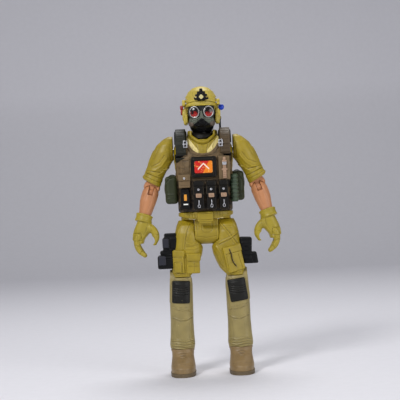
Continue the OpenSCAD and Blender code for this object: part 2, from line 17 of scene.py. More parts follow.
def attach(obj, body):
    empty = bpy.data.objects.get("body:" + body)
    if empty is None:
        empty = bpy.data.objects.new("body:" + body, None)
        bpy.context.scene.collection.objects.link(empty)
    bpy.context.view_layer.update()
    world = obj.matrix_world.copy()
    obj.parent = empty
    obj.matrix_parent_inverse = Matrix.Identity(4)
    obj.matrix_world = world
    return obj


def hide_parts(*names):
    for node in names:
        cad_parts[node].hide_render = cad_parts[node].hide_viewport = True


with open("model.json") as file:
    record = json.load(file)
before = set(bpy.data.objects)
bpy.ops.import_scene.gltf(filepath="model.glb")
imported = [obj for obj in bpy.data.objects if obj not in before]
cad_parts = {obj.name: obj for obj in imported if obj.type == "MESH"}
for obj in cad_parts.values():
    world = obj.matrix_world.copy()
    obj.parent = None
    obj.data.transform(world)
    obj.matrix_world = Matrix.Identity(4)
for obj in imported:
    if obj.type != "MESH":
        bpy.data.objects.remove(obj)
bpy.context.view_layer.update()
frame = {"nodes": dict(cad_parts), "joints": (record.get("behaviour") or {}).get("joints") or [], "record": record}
joint = {j["name"]: j for j in frame["joints"]}
MM = 0.001
MIDDLE_Y = joint["neck_turn"]["pos_m"][1]

# %% [markdown]
# ## The camera, the floor and the light
# The figure is looked at from straight in front, through a long lens, with the camera leaning a little,
# so the toy seems to lean the other way. A pale sheet curves up behind it, and three large soft lamps
# light it evenly.

# %% Camera
LEAN = 2.6
VIEW_CENTRE = Vector((-0.0055, MIDDLE_Y, 0.1809))
VIEW_WIDTH = 0.42
LENS, SENSOR = 100, 36
bpy.ops.object.camera_add(
    location=VIEW_CENTRE - Vector((0, VIEW_WIDTH * LENS / SENSOR, 0)),
    rotation=(math.radians(90), math.radians(LEAN), 0))
camera = bpy.context.object
camera.data.lens = LENS
camera.data.sensor_width = SENSOR
camera.data.clip_start = 0.01
bpy.context.scene.camera = camera
bpy.context.scene.view_settings.view_transform = "Standard"
print("camera", [round(v, 3) for v in camera.location])

# %% [markdown]
# ## Keeping hold of the right thing
# An operator acts on whatever is selected, so each helper first deselects everything and then picks its
# own piece. The helpers also apply a place, a turn or a modifier at once, so every mesh ends up plain,
# with its object at the origin. Millimetres are easier to think in than metres, so one helper turns them
# into a point.


# %% Helpers for selecting and for finishing a mesh
def select_none():
    if bpy.context.mode != "OBJECT":
        bpy.ops.object.mode_set(mode="OBJECT")
    bpy.ops.object.select_all(action="DESELECT")


def pick(*pieces):
    select_none()
    for piece in pieces:
        piece.select_set(True)
    bpy.context.view_layer.objects.active = pieces[0]


def settle(piece):
    """Puts a piece's place, turn and size into its mesh."""
    pick(piece)
    bpy.ops.object.transform_apply(location=True, rotation=True, scale=True)
    return piece


def modify(piece, kind, **settings):
    """Adds one modifier and applies it."""
    pick(piece)
    bpy.ops.object.modifier_add(type=kind)
    modifier = piece.modifiers[-1]
    for name, value in settings.items():
        setattr(modifier, name, value)
    bpy.ops.object.modifier_apply(modifier=modifier.name)
    return piece


def spot(x, y, z):
    """A point in millimetres, with y counted from the neck's own line."""
    return Vector((x * MM, y * MM + MIDDLE_Y, z * MM))


# %% [markdown]
# ## The studio
# A product picture is taken on a sheet of paper that curves up at the back, so no edge shows. Here a
# plane has its back edge extruded upwards, and a wide bevel makes the curve. Discs of light stand in for
# soft boxes: a strong key lamp from the left, a weak fill from the right, and one overhead to draw the
# outline of the head and shoulders.


# %% Floor and lamps
def lamp(name, place, aim, size, watts):
    """A round soft lamp, turned to face the toy."""
    bpy.ops.object.light_add(type="AREA", location=place)
    light = bpy.context.object
    light.name = name
    light.data.shape = "DISK"
    light.data.size = size
    light.data.energy = watts
    light.rotation_euler = (Vector(place) - Vector(aim)).to_track_quat("Z", "Y").to_euler()
    print(name, watts, "W")


select_none()
bpy.ops.mesh.primitive_plane_add(size=4, location=(0, 0, 0))
floor = bpy.context.object
floor.name = "studio_floor"
bpy.ops.object.mode_set(mode="EDIT")
bpy.ops.mesh.select_all(action="DESELECT")
bpy.ops.object.mode_set(mode="OBJECT")
for edge in floor.data.edges:
    edge.select = all(floor.data.vertices[v].co.y > 0 for v in edge.vertices)
bpy.ops.object.mode_set(mode="EDIT")
bpy.ops.mesh.select_mode(type="EDGE")
bpy.ops.mesh.extrude_region_move(TRANSFORM_OT_translate={"value": (0, 0, 2.4)})
bpy.ops.object.mode_set(mode="OBJECT")
modify(floor, "BEVEL", width=0.5, segments=12, limit_method="ANGLE")
bpy.ops.object.shade_smooth()
print("floor", len(floor.data.polygons), "faces")

# %% Lamps and air
AIM = (0, 0, 0.17)
lamp("key", (-0.75, -1.25, 1.15), AIM, 0.5, 18.5)
lamp("fill", (1.1, -1.0, 0.5), AIM, 0.9, 7)
lamp("crown", (0.1, 0.5, 1.5), AIM, 0.8, 11)
world = bpy.data.worlds.new("studio_air")
bpy.context.scene.world = world
world.use_nodes = True
air = world.node_tree.nodes["Background"].inputs
air["Color"].default_value = (0.9, 0.92, 1, 1)
air["Strength"].default_value = 0.27
print("air strength", round(air["Strength"].default_value, 2))

# %% [markdown]
# ## Finishes
# A cheap moulded toy has a satin skin that is a little blotchy. Shade is painted into its grooves, and a
# highlight is painted onto its ridges. One function mixes all of that: soft noise for the blotches,
# Pointiness for the painted shade and the painted highlight, and a fine grain for the bump.


# %% Material helpers
def linear(red, green, blue):
    """Turns an everyday colour, 0 to 255, into the linear numbers that shaders use."""
    def one(value):
        value = value / 255
        return value / 12.92 if value <= 0.04045 else ((value + 0.055) / 1.055) ** 2.4
    return (one(red), one(green), one(blue), 1)


def shaded(colour, amount):
    """The same colour, darker or lighter."""
    return tuple(min(1, c * amount) for c in colour[:3]) + (1,)


def start_material(name):
    """A new material with one main shader."""
    material = bpy.data.materials.new(name)
    material.use_nodes = True
    tree = material.node_tree
    tree.nodes.clear()
    output = tree.nodes.new("ShaderNodeOutputMaterial")
    shader = tree.nodes.new("ShaderNodeBsdfPrincipled")
    tree.links.new(shader.outputs["BSDF"], output.inputs["Surface"])
    return material, tree, shader


# %% Noise, ranges, mixes and bumps
def add_noise(tree, scale, detail=3):
    """Soft noise that sits on the object, so it stays put when the piece moves."""
    where = tree.nodes.new("ShaderNodeTexCoord")
    noise = tree.nodes.new("ShaderNodeTexNoise")
    noise.inputs["Scale"].default_value = scale
    noise.inputs["Detail"].default_value = detail
    tree.links.new(where.outputs["Object"], noise.inputs["Vector"])
    return noise.outputs["Fac"]


def add_range(tree, value, low, high, to_low=0.0, to_high=1.0):
    """Stretches a part of a value's range to another range."""
    node = tree.nodes.new("ShaderNodeMapRange")
    tree.links.new(value, node.inputs["Value"])
    for name, number in (("From Min", low), ("From Max", high), ("To Min", to_low), ("To Max", to_high)):
        node.inputs[name].default_value = number
    return node.outputs["Result"]


def add_mix(tree, amount, first, second):
    """Mixes two colours, which may be plain or come from other nodes."""
    node = tree.nodes.new("ShaderNodeMix")
    node.data_type = "RGBA"
    tree.links.new(amount, node.inputs[0])
    for socket, colour in ((node.inputs[6], first), (node.inputs[7], second)):
        if isinstance(colour, tuple):
            socket.default_value = colour
        else:
            tree.links.new(colour, socket)
    return node.outputs[2]


def add_bump(tree, shader, scale, height, strength=0.6):
    """A fine grain on the surface."""
    bump = tree.nodes.new("ShaderNodeBump")
    bump.inputs["Strength"].default_value = strength
    bump.inputs["Distance"].default_value = height
    tree.links.new(add_noise(tree, scale), bump.inputs["Height"])
    tree.links.new(bump.outputs["Normal"], shader.inputs["Normal"])


# %% Plastic and silver paint
def moulded(name, colour, groove=0.35, ridge=1.25, blotch=0.1, rough=0.46, ridge_highlight=None, shine=0.5):
    """Satin plastic: blotchy, with painted shade in its grooves and a painted highlight, paler or another colour,
    on its ridges.
    """
    material, tree, shader = start_material(name)
    body = add_mix(tree, add_range(tree, add_noise(tree, 90), 0.35, 0.65),
                   shaded(colour, 1 - blotch), shaded(colour, 1 + blotch))
    point = tree.nodes.new("ShaderNodeNewGeometry").outputs["Pointiness"]
    # Painted shade: the grooves are darkened.
    body = add_mix(tree, add_range(tree, point, 0.5, 0.44), body, shaded(colour, groove))
    # Painted highlight: the ridges are made paler, or take the given highlight colour.
    highlight_tone = ridge_highlight if ridge_highlight else shaded(colour, ridge)
    body = add_mix(tree, add_range(tree, point, 0.52, 0.6), body, highlight_tone)
    tree.links.new(body, shader.inputs["Base Color"])
    tree.links.new(add_range(tree, add_noise(tree, 260), 0.3, 0.7, rough - 0.06, rough + 0.08),
                   shader.inputs["Roughness"])
    shader.inputs["Specular IOR Level"].default_value = shine
    add_bump(tree, shader, 900, 0.00008)
    return material


def metal(name, colour, rough=0.32):
    """Silver paint over plastic: mostly metal, a little patchy."""
    material, tree, shader = start_material(name)
    shader.inputs["Metallic"].default_value = 0.85
    body = add_mix(tree, add_range(tree, add_noise(tree, 300), 0.35, 0.65),
                   shaded(colour, 0.8), shaded(colour, 1.15))
    tree.links.new(body, shader.inputs["Base Color"])
    tree.links.new(add_range(tree, add_noise(tree, 700), 0.3, 0.7, rough - 0.08, rough + 0.1),
                   shader.inputs["Roughness"])
    add_bump(tree, shader, 1500, 0.00004, 0.4)
    return material


# %% [markdown]
# ## The paint box
# The whole toy is moulded in a handful of plastics, and only small things are painted. So the colours are
# named once, and one dictionary keeps a finish for each. Black and brown parts take a low shine, because
# they are cast rough to look like webbing. The lenses are clear red plastic in a gloss, and their upper
# part is painted black as shade, so they turn from red below to black above.

# %% The paint box
OLIVE = linear(150, 129, 22)
HELMET = linear(182, 162, 62)
PALE = linear(226, 207, 134)
# Olive made paler and greyer: painted haze of light over the shins.
HAZED_OLIVE = linear(144, 129, 78)
GLOVE = linear(155, 137, 33)
SKIN = linear(182, 124, 82)
BROWN = linear(106, 87, 60)
DARK = linear(14, 12, 9)
BLACK = linear(4, 4, 5)
MOSS = linear(46, 52, 28)
MASK = linear(84, 89, 76)
TAN = linear(164, 132, 106)
STEEL = linear(196, 196, 200)

# Each moulded finish paints shade into its grooves and a highlight onto its ridges; groove and ridge set how
# strong.
finish = {
    "olive": moulded("olive_plastic", OLIVE, groove=0.42),
    "pale_olive": moulded("shirt_panel_plastic", OLIVE, groove=0.42),
    "helmet": moulded("helmet_plastic", HELMET, groove=0.38),
    "hazed_olive": moulded("trouser_leg_plastic", HAZED_OLIVE, groove=0.45),
    "steel": metal("silver_paint", STEEL),
    # Black plastic with a strong painted highlight on its ridges.
    "black": moulded("black_plastic", BLACK, groove=0.5, ridge=3.2, rough=0.44, shine=0.2),
    "brown": moulded("brown_webbing_plastic", BROWN, groove=0.2, ridge=1.5, shine=0.3),
    # Dark webbing with a painted brown highlight on its ridges.
    "dark": moulded("dark_webbing_plastic", DARK, groove=0.3, ridge_highlight=linear(88, 76, 54), shine=0.2),
    "patch_red": moulded("patch_border_plastic", linear(60, 50, 36), ridge=1.4),
    "tan": moulded("tan_plastic", TAN, groove=0.3),
    "moss": moulded("moss_green_plastic", MOSS, groove=0.4, ridge=1.4, shine=0.35),
    "red": moulded("red_knob_plastic", linear(150, 38, 28), rough=0.36),
    "blue": moulded("blue_knob_plastic", linear(6, 54, 172), rough=0.3),
    "mask_grey": moulded("mask_rubber", MASK, groove=0.14, ridge=1.35, rough=0.5),
    "skin": moulded("skin_plastic", SKIN, groove=0.7, ridge=1.08, blotch=0.05, rough=0.42),
    "glove": moulded("glove_plastic", GLOVE, groove=0.45),
    "boot": moulded("boot_plastic", linear(136, 112, 74), groove=0.35),
}


# %% A gloss with painted shade above, for the lenses
def gloss_shaded_above(name, low_colour, high_colour, low_z, high_z, ragged=0.0, rough=0.3):
    """A gloss finish that changes from one colour to another on the way up; here the upper colour is painted
    shade.
    """
    material, tree, shader = start_material(name)
    split = tree.nodes.new("ShaderNodeSeparateXYZ")
    tree.links.new(tree.nodes.new("ShaderNodeTexCoord").outputs["Object"], split.inputs["Vector"])
    wobble = add_range(tree, add_noise(tree, 420), 0.3, 0.7, -ragged * MM, ragged * MM)
    height = tree.nodes.new("ShaderNodeMath")
    tree.links.new(split.outputs["Z"], height.inputs[0])
    tree.links.new(wobble, height.inputs[1])
    amount = add_range(tree, height.outputs["Value"], low_z * MM, high_z * MM)
    tree.links.new(add_mix(tree, amount, low_colour, high_colour), shader.inputs["Base Color"])
    tree.links.new(add_range(tree, add_noise(tree, 200), 0.3, 0.7, rough - 0.05, rough + 0.05),
                   shader.inputs["Roughness"])
    return material


# Lenses: red plastic below, with painted shade as black over the upper part.
LENS_RED, LENS_SHADE = linear(158, 22, 12), linear(8, 5, 5)
RED_BELOW_Z, SHADE_ABOVE_Z = 268.8, 272.6
finish["lens"] = gloss_shaded_above("lens_gloss", LENS_RED, LENS_SHADE, RED_BELOW_Z, SHADE_ABOVE_Z, 2.4, 0.2)
floor.data.materials.append(moulded("floor_paper", linear(226, 225, 230), blotch=0.01, rough=0.7))
print(len(finish), "finishes")

# %% [markdown]
# ## Tools for the clay
# Every part starts from a few primitives: slabs, pegs, balls, tubes, and limbs grown ring by ring with
# extrude. They are melted into one skin by a voxel remesh, then smoothed. After that a stroke raises or
# presses the skin along a line, just as a wire tool does in clay, so seams, hems and folds follow the
# shape under them.


# %% Primitives at their size and place
def slab(size, at, turn=(0, 0, 0), edge=0.6, steps=3):
    """A block with bevelled edges."""
    select_none()
    bpy.ops.mesh.primitive_cube_add(size=1, location=spot(*at), rotation=[math.radians(a) for a in turn])
    piece = bpy.context.object
    piece.scale = [s * MM for s in size]
    settle(piece)
    return modify(piece, "BEVEL", width=edge * MM, segments=steps)


def peg(radius, length, at, turn=(0, 0, 0), edge=0.25, sides=32):
    """An upright round bar with bevelled ends."""
    select_none()
    bpy.ops.mesh.primitive_cylinder_add(
        vertices=sides, radius=radius * MM, depth=length * MM,
        location=spot(*at), rotation=[math.radians(a) for a in turn])
    piece = settle(bpy.context.object)
    return modify(piece, "BEVEL", width=edge * MM, segments=3)


def ball(radius, at, squeeze=(1, 1, 1), turn=(0, 0, 0), rings=16):
    select_none()
    bpy.ops.mesh.primitive_uv_sphere_add(
        segments=2 * rings, ring_count=rings, radius=radius * MM,
        location=spot(*at), rotation=[math.radians(a) for a in turn])
    piece = bpy.context.object
    piece.scale = squeeze
    return settle(piece)


# %% Hoops, limbs and ropes
def hoop(radius, thick, at, squeeze=(1, 1, 1), turn=(90, 0, 0)):
    select_none()
    bpy.ops.mesh.primitive_torus_add(
        major_radius=radius * MM, minor_radius=thick * MM, major_segments=48, minor_segments=12,
        location=spot(*at), rotation=[math.radians(a) for a in turn])
    piece = bpy.context.object
    piece.scale = squeeze
    return settle(piece)


def grow(rings, square=2.0, sides=32):
    """A limb grown upwards or downwards from rings of (x, y, z, half width, half depth)."""
    x, y, z, wide, deep = rings[0]
    select_none()
    bpy.ops.mesh.primitive_circle_add(vertices=sides, radius=1, fill_type="NGON", location=spot(x, y, z))
    piece = bpy.context.object
    for corner in piece.data.vertices:
        reach = (abs(corner.co.x) ** square + abs(corner.co.y) ** square) ** (-1 / square)
        corner.co = Vector((corner.co.x * reach * wide * MM, corner.co.y * reach * deep * MM, 0))
    bpy.ops.object.mode_set(mode="EDIT")
    bpy.ops.mesh.select_all(action="SELECT")
    for nx, ny, nz, nwide, ndeep in rings[1:]:
        bpy.ops.mesh.extrude_region_move(
            TRANSFORM_OT_translate={"value": ((nx - x) * MM, (ny - y) * MM, (nz - z) * MM)})
        bpy.ops.transform.resize(value=(nwide / wide, ndeep / deep, 1), center_override=spot(nx, ny, nz))
        x, y, z, wide, deep = nx, ny, nz, nwide, ndeep
    bpy.ops.mesh.select_all(action="SELECT")
    bpy.ops.mesh.normals_make_consistent(inside=False)
    bpy.ops.object.mode_set(mode="OBJECT")
    return settle(piece)


def tube(points, radius, sizes=None):
    """A round rope through points. sizes gives its thickness at each point, as a part of the radius."""
    select_none()
    bpy.ops.curve.primitive_bezier_curve_add()
    rope = bpy.context.object
    spline = rope.data.splines[0]
    spline.bezier_points.add(len(points) - 2)
    for knot, point, size in zip(spline.bezier_points, points, sizes or [1] * len(points)):
        knot.co = point
        knot.handle_left_type = "AUTO"
        knot.handle_right_type = "AUTO"
        knot.radius = size
    rope.data.bevel_depth = radius * MM
    rope.data.bevel_resolution = 3
    rope.data.resolution_u = 5
    rope.data.use_fill_caps = True
    bpy.ops.object.convert(target="MESH")
    return bpy.context.object


# %% Cutting, melting and mirroring
def carve(piece, *cutters):
    """Cuts solids out of a piece and throws them away."""
    for cutter in cutters:
        modify(piece, "BOOLEAN", operation="DIFFERENCE", solver="EXACT", object=cutter)
        bpy.data.objects.remove(cutter)
    return piece


def melt(parts, grain=0.5, rub=4):
    """Joins solids and melts them into one clay skin."""
    pick(*parts)
    if len(parts) > 1:
        bpy.ops.object.join()
    piece = bpy.context.object
    modify(piece, "REMESH", mode="VOXEL", voxel_size=grain * MM)
    return modify(piece, "SMOOTH", factor=0.5, iterations=rub)


def mirrored(piece):
    """A copy for the other side of the figure, with its own mesh."""
    pick(piece)
    bpy.ops.object.duplicate()
    copy = bpy.context.object
    bpy.ops.transform.mirror(constraint_axis=(True, False, False), center_override=(0, 0, 0))
    settle(copy)
    bpy.ops.object.mode_set(mode="EDIT")
    bpy.ops.mesh.select_all(action="SELECT")
    bpy.ops.mesh.normals_make_consistent(inside=False)
    bpy.ops.object.mode_set(mode="OBJECT")
    return copy


# %% [markdown]
# ## Strokes of the modelling tool
# A drawn line is flat. It is thrown onto the skin with rays, as a slide projector would, and then every
# point of the skin near the line is moved along its own normal: outwards for a hem or a strap, inwards
# for a seam. The move fades smoothly to nothing at the line's edge. A patch does the same for the inside
# of an outline. Real geometry is better than a bump here, because the folds also show on the outline of
# the toy.

# %% Strokes of the modelling tool
SMOOTH_BELOW = 50
LOOKS = {"front": (1, 1), "back": (1, -1), "outer": (0, -1), "inner": (0, 1)}


def traced(piece, line, seen_from="front", steps=6):
    """Lays a flat line onto the skin. From the front or back it is (x, z); from a side it is (y, z)."""
    axis, way = LOOKS[seen_from]
    bpy.context.view_layer.update()
    aim = Vector((0, 0, 0))
    aim[axis] = way
    found = []
    for (a0, z0), (a1, z1) in zip(line, line[1:]):
        for step in range(steps + 1):
            t = step / steps
            across = (a0 + (a1 - a0) * t) * MM
            start = Vector((0, 0, (z0 + (z1 - z0) * t) * MM))
            start[axis] = -way * 0.2
            start[1 - axis] = across + (MIDDLE_Y if axis == 0 else 0)
            hit, place = piece.ray_cast(start, aim)[:2]
            if hit:
                found.append(place.copy())
    return found


def skin_arrays(piece):
    """The places and the normals of all points, as tables."""
    count = len(piece.data.vertices)
    places = np.empty(count * 3)
    normals = np.empty(count * 3)
    piece.data.vertices.foreach_get("co", places)
    piece.data.vertices.foreach_get("normal", normals)
    return places.reshape(-1, 3), normals.reshape(-1, 3)


def put_back(piece, places):
    piece.data.vertices.foreach_set("co", places.ravel())
    piece.data.update()


# %% Pressing and lifting along a line
def stroke(piece, points, width, height, dash=None):
    """Lifts the skin along a line, or presses it in where height is negative. dash makes it stitches."""
    if len(points) < 2:
        return
    places, normals = skin_arrays(piece)
    nearest = np.full(len(places), np.inf)
    along = np.zeros(len(places))
    walked = 0.0
    for first, second in zip(points, points[1:]):
        start = np.array(first)
        span = np.array(second) - start
        length = math.sqrt(span @ span)
        if length < 1e-7:
            continue
        t = np.clip((places - start) @ span / length ** 2, 0, 1)
        away = np.linalg.norm(places - start - t[:, None] * span, axis=1)
        closer = away < nearest
        nearest = np.where(closer, away, nearest)
        along = np.where(closer, walked + t * length, along)
        walked += length
    reach = np.clip(1 - nearest / (width / 2 * MM), 0, 1)
    lift = reach * reach * (3 - 2 * reach)
    if dash:
        lift = lift * (np.sin(along / (dash * MM) * 2 * math.pi) > -0.2)
    put_back(piece, places + normals * (lift * height * MM)[:, None])


def draw(piece, line, width, height, seen_from="front", dash=None):
    """Works a line into the skin. Widths and heights are millimetres."""
    stroke(piece, traced(piece, line, seen_from), width, height, dash)


# %% Raised patches
def raise_patch(piece, corners, height, edge=0.6, seen_from="front"):
    """Lifts the flat area inside corners, which go round anticlockwise or clockwise, with a soft edge."""
    axis, way = LOOKS[seen_from]
    places, normals = skin_arrays(piece)
    across = places[:, 1 - axis] / MM - (MIDDLE_Y / MM if axis == 0 else 0)
    up = places[:, 2] / MM
    away = np.full(len(places), np.inf)
    inside = np.zeros(len(places), bool)
    for (a0, z0), (a1, z1) in zip(corners, corners[1:] + corners[:1]):
        da, dz = a1 - a0, z1 - z0
        t = np.clip(((across - a0) * da + (up - z0) * dz) / (da * da + dz * dz), 0, 1)
        away = np.minimum(away, np.hypot(across - a0 - t * da, up - z0 - t * dz))
        if dz:
            crosses = (z0 > up) != (z1 > up)
            inside ^= crosses & (across < a0 + (up - z0) * da / dz)
    reach = np.clip(0.5 + np.where(inside, away, -away) / edge, 0, 1)
    lift = reach * reach * (3 - 2 * reach) * (normals[:, axis] * way < 0.1)
    put_back(piece, places + normals * (lift * height * MM)[:, None])


# %% Finishing a piece
def finished(piece, name, body, slot, *nodes, look=None):
    """Names and paints a piece, fixes it to the body it moves with, and hides the frame nodes it replaces."""
    piece.name = name
    piece.data.materials.clear()
    piece.data.materials.append(finish[look or slot])
    pick(piece)
    bpy.ops.object.shade_smooth_by_angle(angle=math.radians(SMOOTH_BELOW))
    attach(piece, body)
    if nodes:
        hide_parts(*nodes)
    print(name, len(piece.data.polygons), "faces")
    return piece


def split_in_two(piece, y):
    """Cuts a piece into a front and a back half with closed faces, as its mould halves are."""
    pick(piece)
    bpy.ops.object.duplicate()
    other = bpy.context.object
    for half, front in ((piece, True), (other, False)):
        pick(half)
        bpy.ops.object.mode_set(mode="EDIT")
        bpy.ops.mesh.select_all(action="SELECT")
        bpy.ops.mesh.bisect(plane_co=spot(0, y, 0), plane_no=(0, 1, 0), use_fill=True,
                            clear_inner=not front, clear_outer=front)
        bpy.ops.object.mode_set(mode="OBJECT")
    return piece, other


# %% [markdown]
# ## The shirt
# The torso is one moulded shirt in two halves. It is grown from rings, the collar is a standing band that
# opens in a V, and the placket runs down from it. Two paler panels beside the placket are painted on.

# %% Shirt
torso_rings = [(0, 1, 161, 25.8, 15.8), (0, 1, 172, 26, 16.2), (0, 1, 190, 26, 16.8),
               (0, 0, 208, 28.6, 17.8), (0, 0, 222, 31, 18), (0, 0, 234, 31.4, 16.4),
               (0, 1, 242, 28, 14.4), (0, 1, 247, 19, 13)]
shirt = grow(torso_rings, 2.7, 40)
collar = grow([(0, 0.5, 240, 20, 15.4), (0, 0.5, 246, 16.8, 14.8), (0, 1, 253.7, 15.4, 13.8)], 2.2, 40)
for side in (-1, 1):
    carve(shirt, slab((20, 60, 120), (side * 40.9, 0, 200)))
shirt = melt([shirt, collar], 0.55, 3)
shirt = carve(shirt, grow([(0, 1, 242, 12.6, 11.7), (0, 1, 258, 12.6, 11.7)], 2.2, 40))
notch = grow([(0, -15, 262, 12, 12), (0, -15, 249, 11.6, 12), (0, -15, 243.8, 4.4, 12)], 6, 16)
shirt = carve(shirt, notch)
shirt = melt([shirt], 0.5, 2)
print("shirt", len(shirt.data.polygons), "faces")

# %% Collar, placket and folds
collar_edge = [(-12.4, 252.6), (-12.6, 248), (-5.4, 242.2), (0, 240.8),
               (5.4, 242.2), (12.4, 248), (12.6, 252.6)]
collar_seam = [(-15.2, 250), (-12.4, 245), (-6, 240), (0, 238.4), (6, 240), (12.4, 245), (15.2, 250)]
draw(shirt, collar_edge, 3.4, 0.9)
draw(shirt, collar_seam, 1.2, -0.8)
draw(shirt, [(-7, 238.8), (-4.8, 232), (-4.6, 226)], 1.1, -0.5)
draw(shirt, [(5.4, 239), (3.6, 232), (3.4, 226)], 1.1, -0.5)
for height in (236.6, 232.4):
    draw(shirt, [(-0.7, height), (-0.3, height)], 2, 0.6)
for side in (-1, 1):
    draw(shirt, [(side * 12, 243), (side * 9, 236), (side * 10, 230)], 2.6, 0.5)
    draw(shirt, [(side * 28, 226), (side * 30, 214), (side * 27, 202)], 2.6, 0.6)
    draw(shirt, [(side * 27, 236), (side * 29, 222)], 2, -0.5)
shirt_front, shirt_back = split_in_two(shirt, 0)


# %% [markdown]
# ## Paint on the shirt
# The panels beside the placket are sprayed through a stencil. A stencil is a matter of place, so the
# material reads where each point lies: how far it is from the middle, against an edge that widens with
# height.


# %% Painted panels on the shirt
PANEL_FOOT_Z, PANEL_TOP_Z = 0.232, 0.246
PANEL_FOOT_X, PANEL_TOP_X, PANEL_OUTER_X = 0.0042, 0.0152, 0.0182


def shirt_paint():
    """Olive, with pale panels on both sides of the placket, set out by their distance from the middle, and painted
    shade in its grooves.
    """
    material, tree, shader = start_material("shirt_front_paint")
    split = tree.nodes.new("ShaderNodeSeparateXYZ")
    tree.links.new(tree.nodes.new("ShaderNodeTexCoord").outputs["Object"], split.inputs["Vector"])
    aside = tree.nodes.new("ShaderNodeMath")
    aside.operation = "ABSOLUTE"
    tree.links.new(split.outputs["X"], aside.inputs[0])
    edge = add_range(tree, split.outputs["Z"], PANEL_FOOT_Z, PANEL_TOP_Z, PANEL_FOOT_X, PANEL_TOP_X)
    over = tree.nodes.new("ShaderNodeMath")
    over.operation = "SUBTRACT"
    tree.links.new(aside.outputs["Value"], over.inputs[0])
    tree.links.new(edge, over.inputs[1])
    pale = add_range(tree, over.outputs["Value"], -0.0002, 0.0004)
    inside = add_range(tree, aside.outputs["Value"], PANEL_OUTER_X, PANEL_OUTER_X - 0.0006)
    both = tree.nodes.new("ShaderNodeMath")
    both.operation = "MULTIPLY"
    tree.links.new(pale, both.inputs[0])
    tree.links.new(inside, both.inputs[1])
    blotchy = add_mix(tree, add_range(tree, add_noise(tree, 90), 0.35, 0.65),
                      shaded(OLIVE, 0.92), shaded(OLIVE, 1.1))
    colour = add_mix(tree, both.outputs["Value"], blotchy, PALE)
    # Painted shade: the grooves are darkened.
    point = tree.nodes.new("ShaderNodeNewGeometry").outputs["Pointiness"]
    colour = add_mix(tree, add_range(tree, point, 0.5, 0.44), colour, shaded(OLIVE, 0.4))
    tree.links.new(colour, shader.inputs["Base Color"])
    shader.inputs["Roughness"].default_value = 0.45
    add_bump(tree, shader, 900, 0.00008)
    return material


finish["shirt_front"] = shirt_paint()
finished(shirt_front, "shirt_front", "torso", "pale_olive", "torso_front", look="shirt_front")
finished(shirt_back, "shirt_back", "torso", "olive", "torso_back")

# %% [markdown]
# ## The scarf
# The neck is wrapped in a dark scarf that fills the collar. Two leaning rings and one loose fold across
# the throat, melted together, look wrapped without any cloth.

# %% Scarf in the collar
scarf = [hoop(10.4, 2.5, (0, 0.4, 247.6), turn=(0, 0, 0)),
         hoop(9.6, 2.3, (0.4, 0.2, 249.6), turn=(7, 4, 0))]
scarf.append(tube([spot(-9, -6.4, 247), spot(-3, -10.6, 245.4), spot(4, -10.2, 246.6),
                   spot(9.4, -5.4, 249)], 2))
scarf = melt(scarf, 0.5, 2)
finished(scarf, "neck_scarf_folds", "torso", "black", "neck_scarf", look="dark")

# %% [markdown]
# ## The vest
# The vest is a stiff shell round the shirt. A grown solid is hollowed with a copy of the shirt, the arm
# holes and the neckline are cut out of it, and the panels, webbing rows and edging are then worked into
# its skin.

# %% Vest shell
vest_rings = [(0, 0.6, 169, 27.8, 19.2), (0, 0.6, 171, 28.5, 20), (0, 0.6, 185, 28.6, 20.6),
              (0, 0.3, 200, 29.6, 21.2), (0, 0, 216, 30.4, 21.4), (0, 0, 228, 30.4, 20.8),
              (0, 0.5, 239, 30, 19.4)]
vest = grow(vest_rings, 3.2, 40)
inner_rings = [(x, y, z, wide - 0.4, deep - 0.4) for x, y, z, wide, deep in torso_rings[1:6]]
inner_rings = [(0, 1, 160, 25.4, 15.4)] + inner_rings + [(0, 1, 243, 27, 14)]
cutters = [grow(inner_rings, 2.7, 40)]
for side in (-1, 1):
    cutters.append(peg(14, 70, (side * 35.2, 0, 234), (90, 0, 0), sides=48))
    cutters.append(slab((14, 60, 40), (side * 36.4, 0, 230), edge=0.2))
cutters.append(peg(15.4, 40, (0, -20, 244), (90, 0, 0), sides=48))
cutters.append(peg(15.4, 40, (0, 20, 247), (90, 0, 0), sides=48))
vest = melt([carve(vest, *cutters)], 0.55, 3)
print("vest", len(vest.data.polygons), "faces")

# %% [markdown]
# ## Seams on the vest
# A real vest is sewn from webbing, so level seams run round it at even heights. A raised belly panel,
# shoulder edging and rows of stitches break them up. The same strokes are given to the front and to the
# back.

# %% Seams and panels of the vest
neck_line = [(-16.6, 238.4), (-13, 232), (-8, 229.4), (-0.5, 228.4), (7, 229), (12.6, 232), (16.4, 238)]
draw(vest, neck_line, 2.2, 0.5)
draw(vest, [(x * 1.04, z - 2.2) for x, z in neck_line], 0.9, -0.5)
for seen in ("front", "back"):
    raise_patch(vest, [(-26, 171), (26, 171), (26.4, 203), (-26.4, 203)], 0.5, 0.6, seen)
    for height in (176, 184, 192, 200):
        draw(vest, [(-25, height), (25, height)], 0.9, -0.45, seen)
    for side in (-1, 1):
        draw(vest, [(side * 14.4, 226), (side * 14.4, 203)], 0.9, -0.5, seen)
        draw(vest, [(side * 27.2, 230), (side * 27.4, 214), (side * 28, 206)], 1.6, 0.45, seen)
        draw(vest, [(side * 22, 229), (side * 22, 204)], 0.7, -0.3, seen, dash=1.2)
        for height in (226.5, 222, 214.4, 209):
            draw(vest, [(side * 15.4, height), (side * 26, height)], 0.8, -0.35, seen)
    draw(vest, [(-26, 204), (26, 204)], 1.4, 0.5, seen)
raise_patch(vest, [(-14, 204), (14, 204), (14, 226), (-14, 226)], 0.5, 0.6, "back")
for height in (209, 214, 219, 224):
    draw(vest, [(-13, height), (13, height)], 0.9, -0.5, "back")
draw(vest, [(-10, 186), (12, 186)], 3, 0.6, "outer")


# %% [markdown]
# ## Paint on the vest
# The vest is cast in brown, and its lower part is sprayed nearly black. Height drives that change, noise wears
# holes in the spray, shade is painted into the grooves, and a brown highlight is painted onto the ridges.


# %% Vest paint: brown above, nearly black below
SPRAY_LOW_Z, SPRAY_HIGH_Z = 0.2005, 0.205


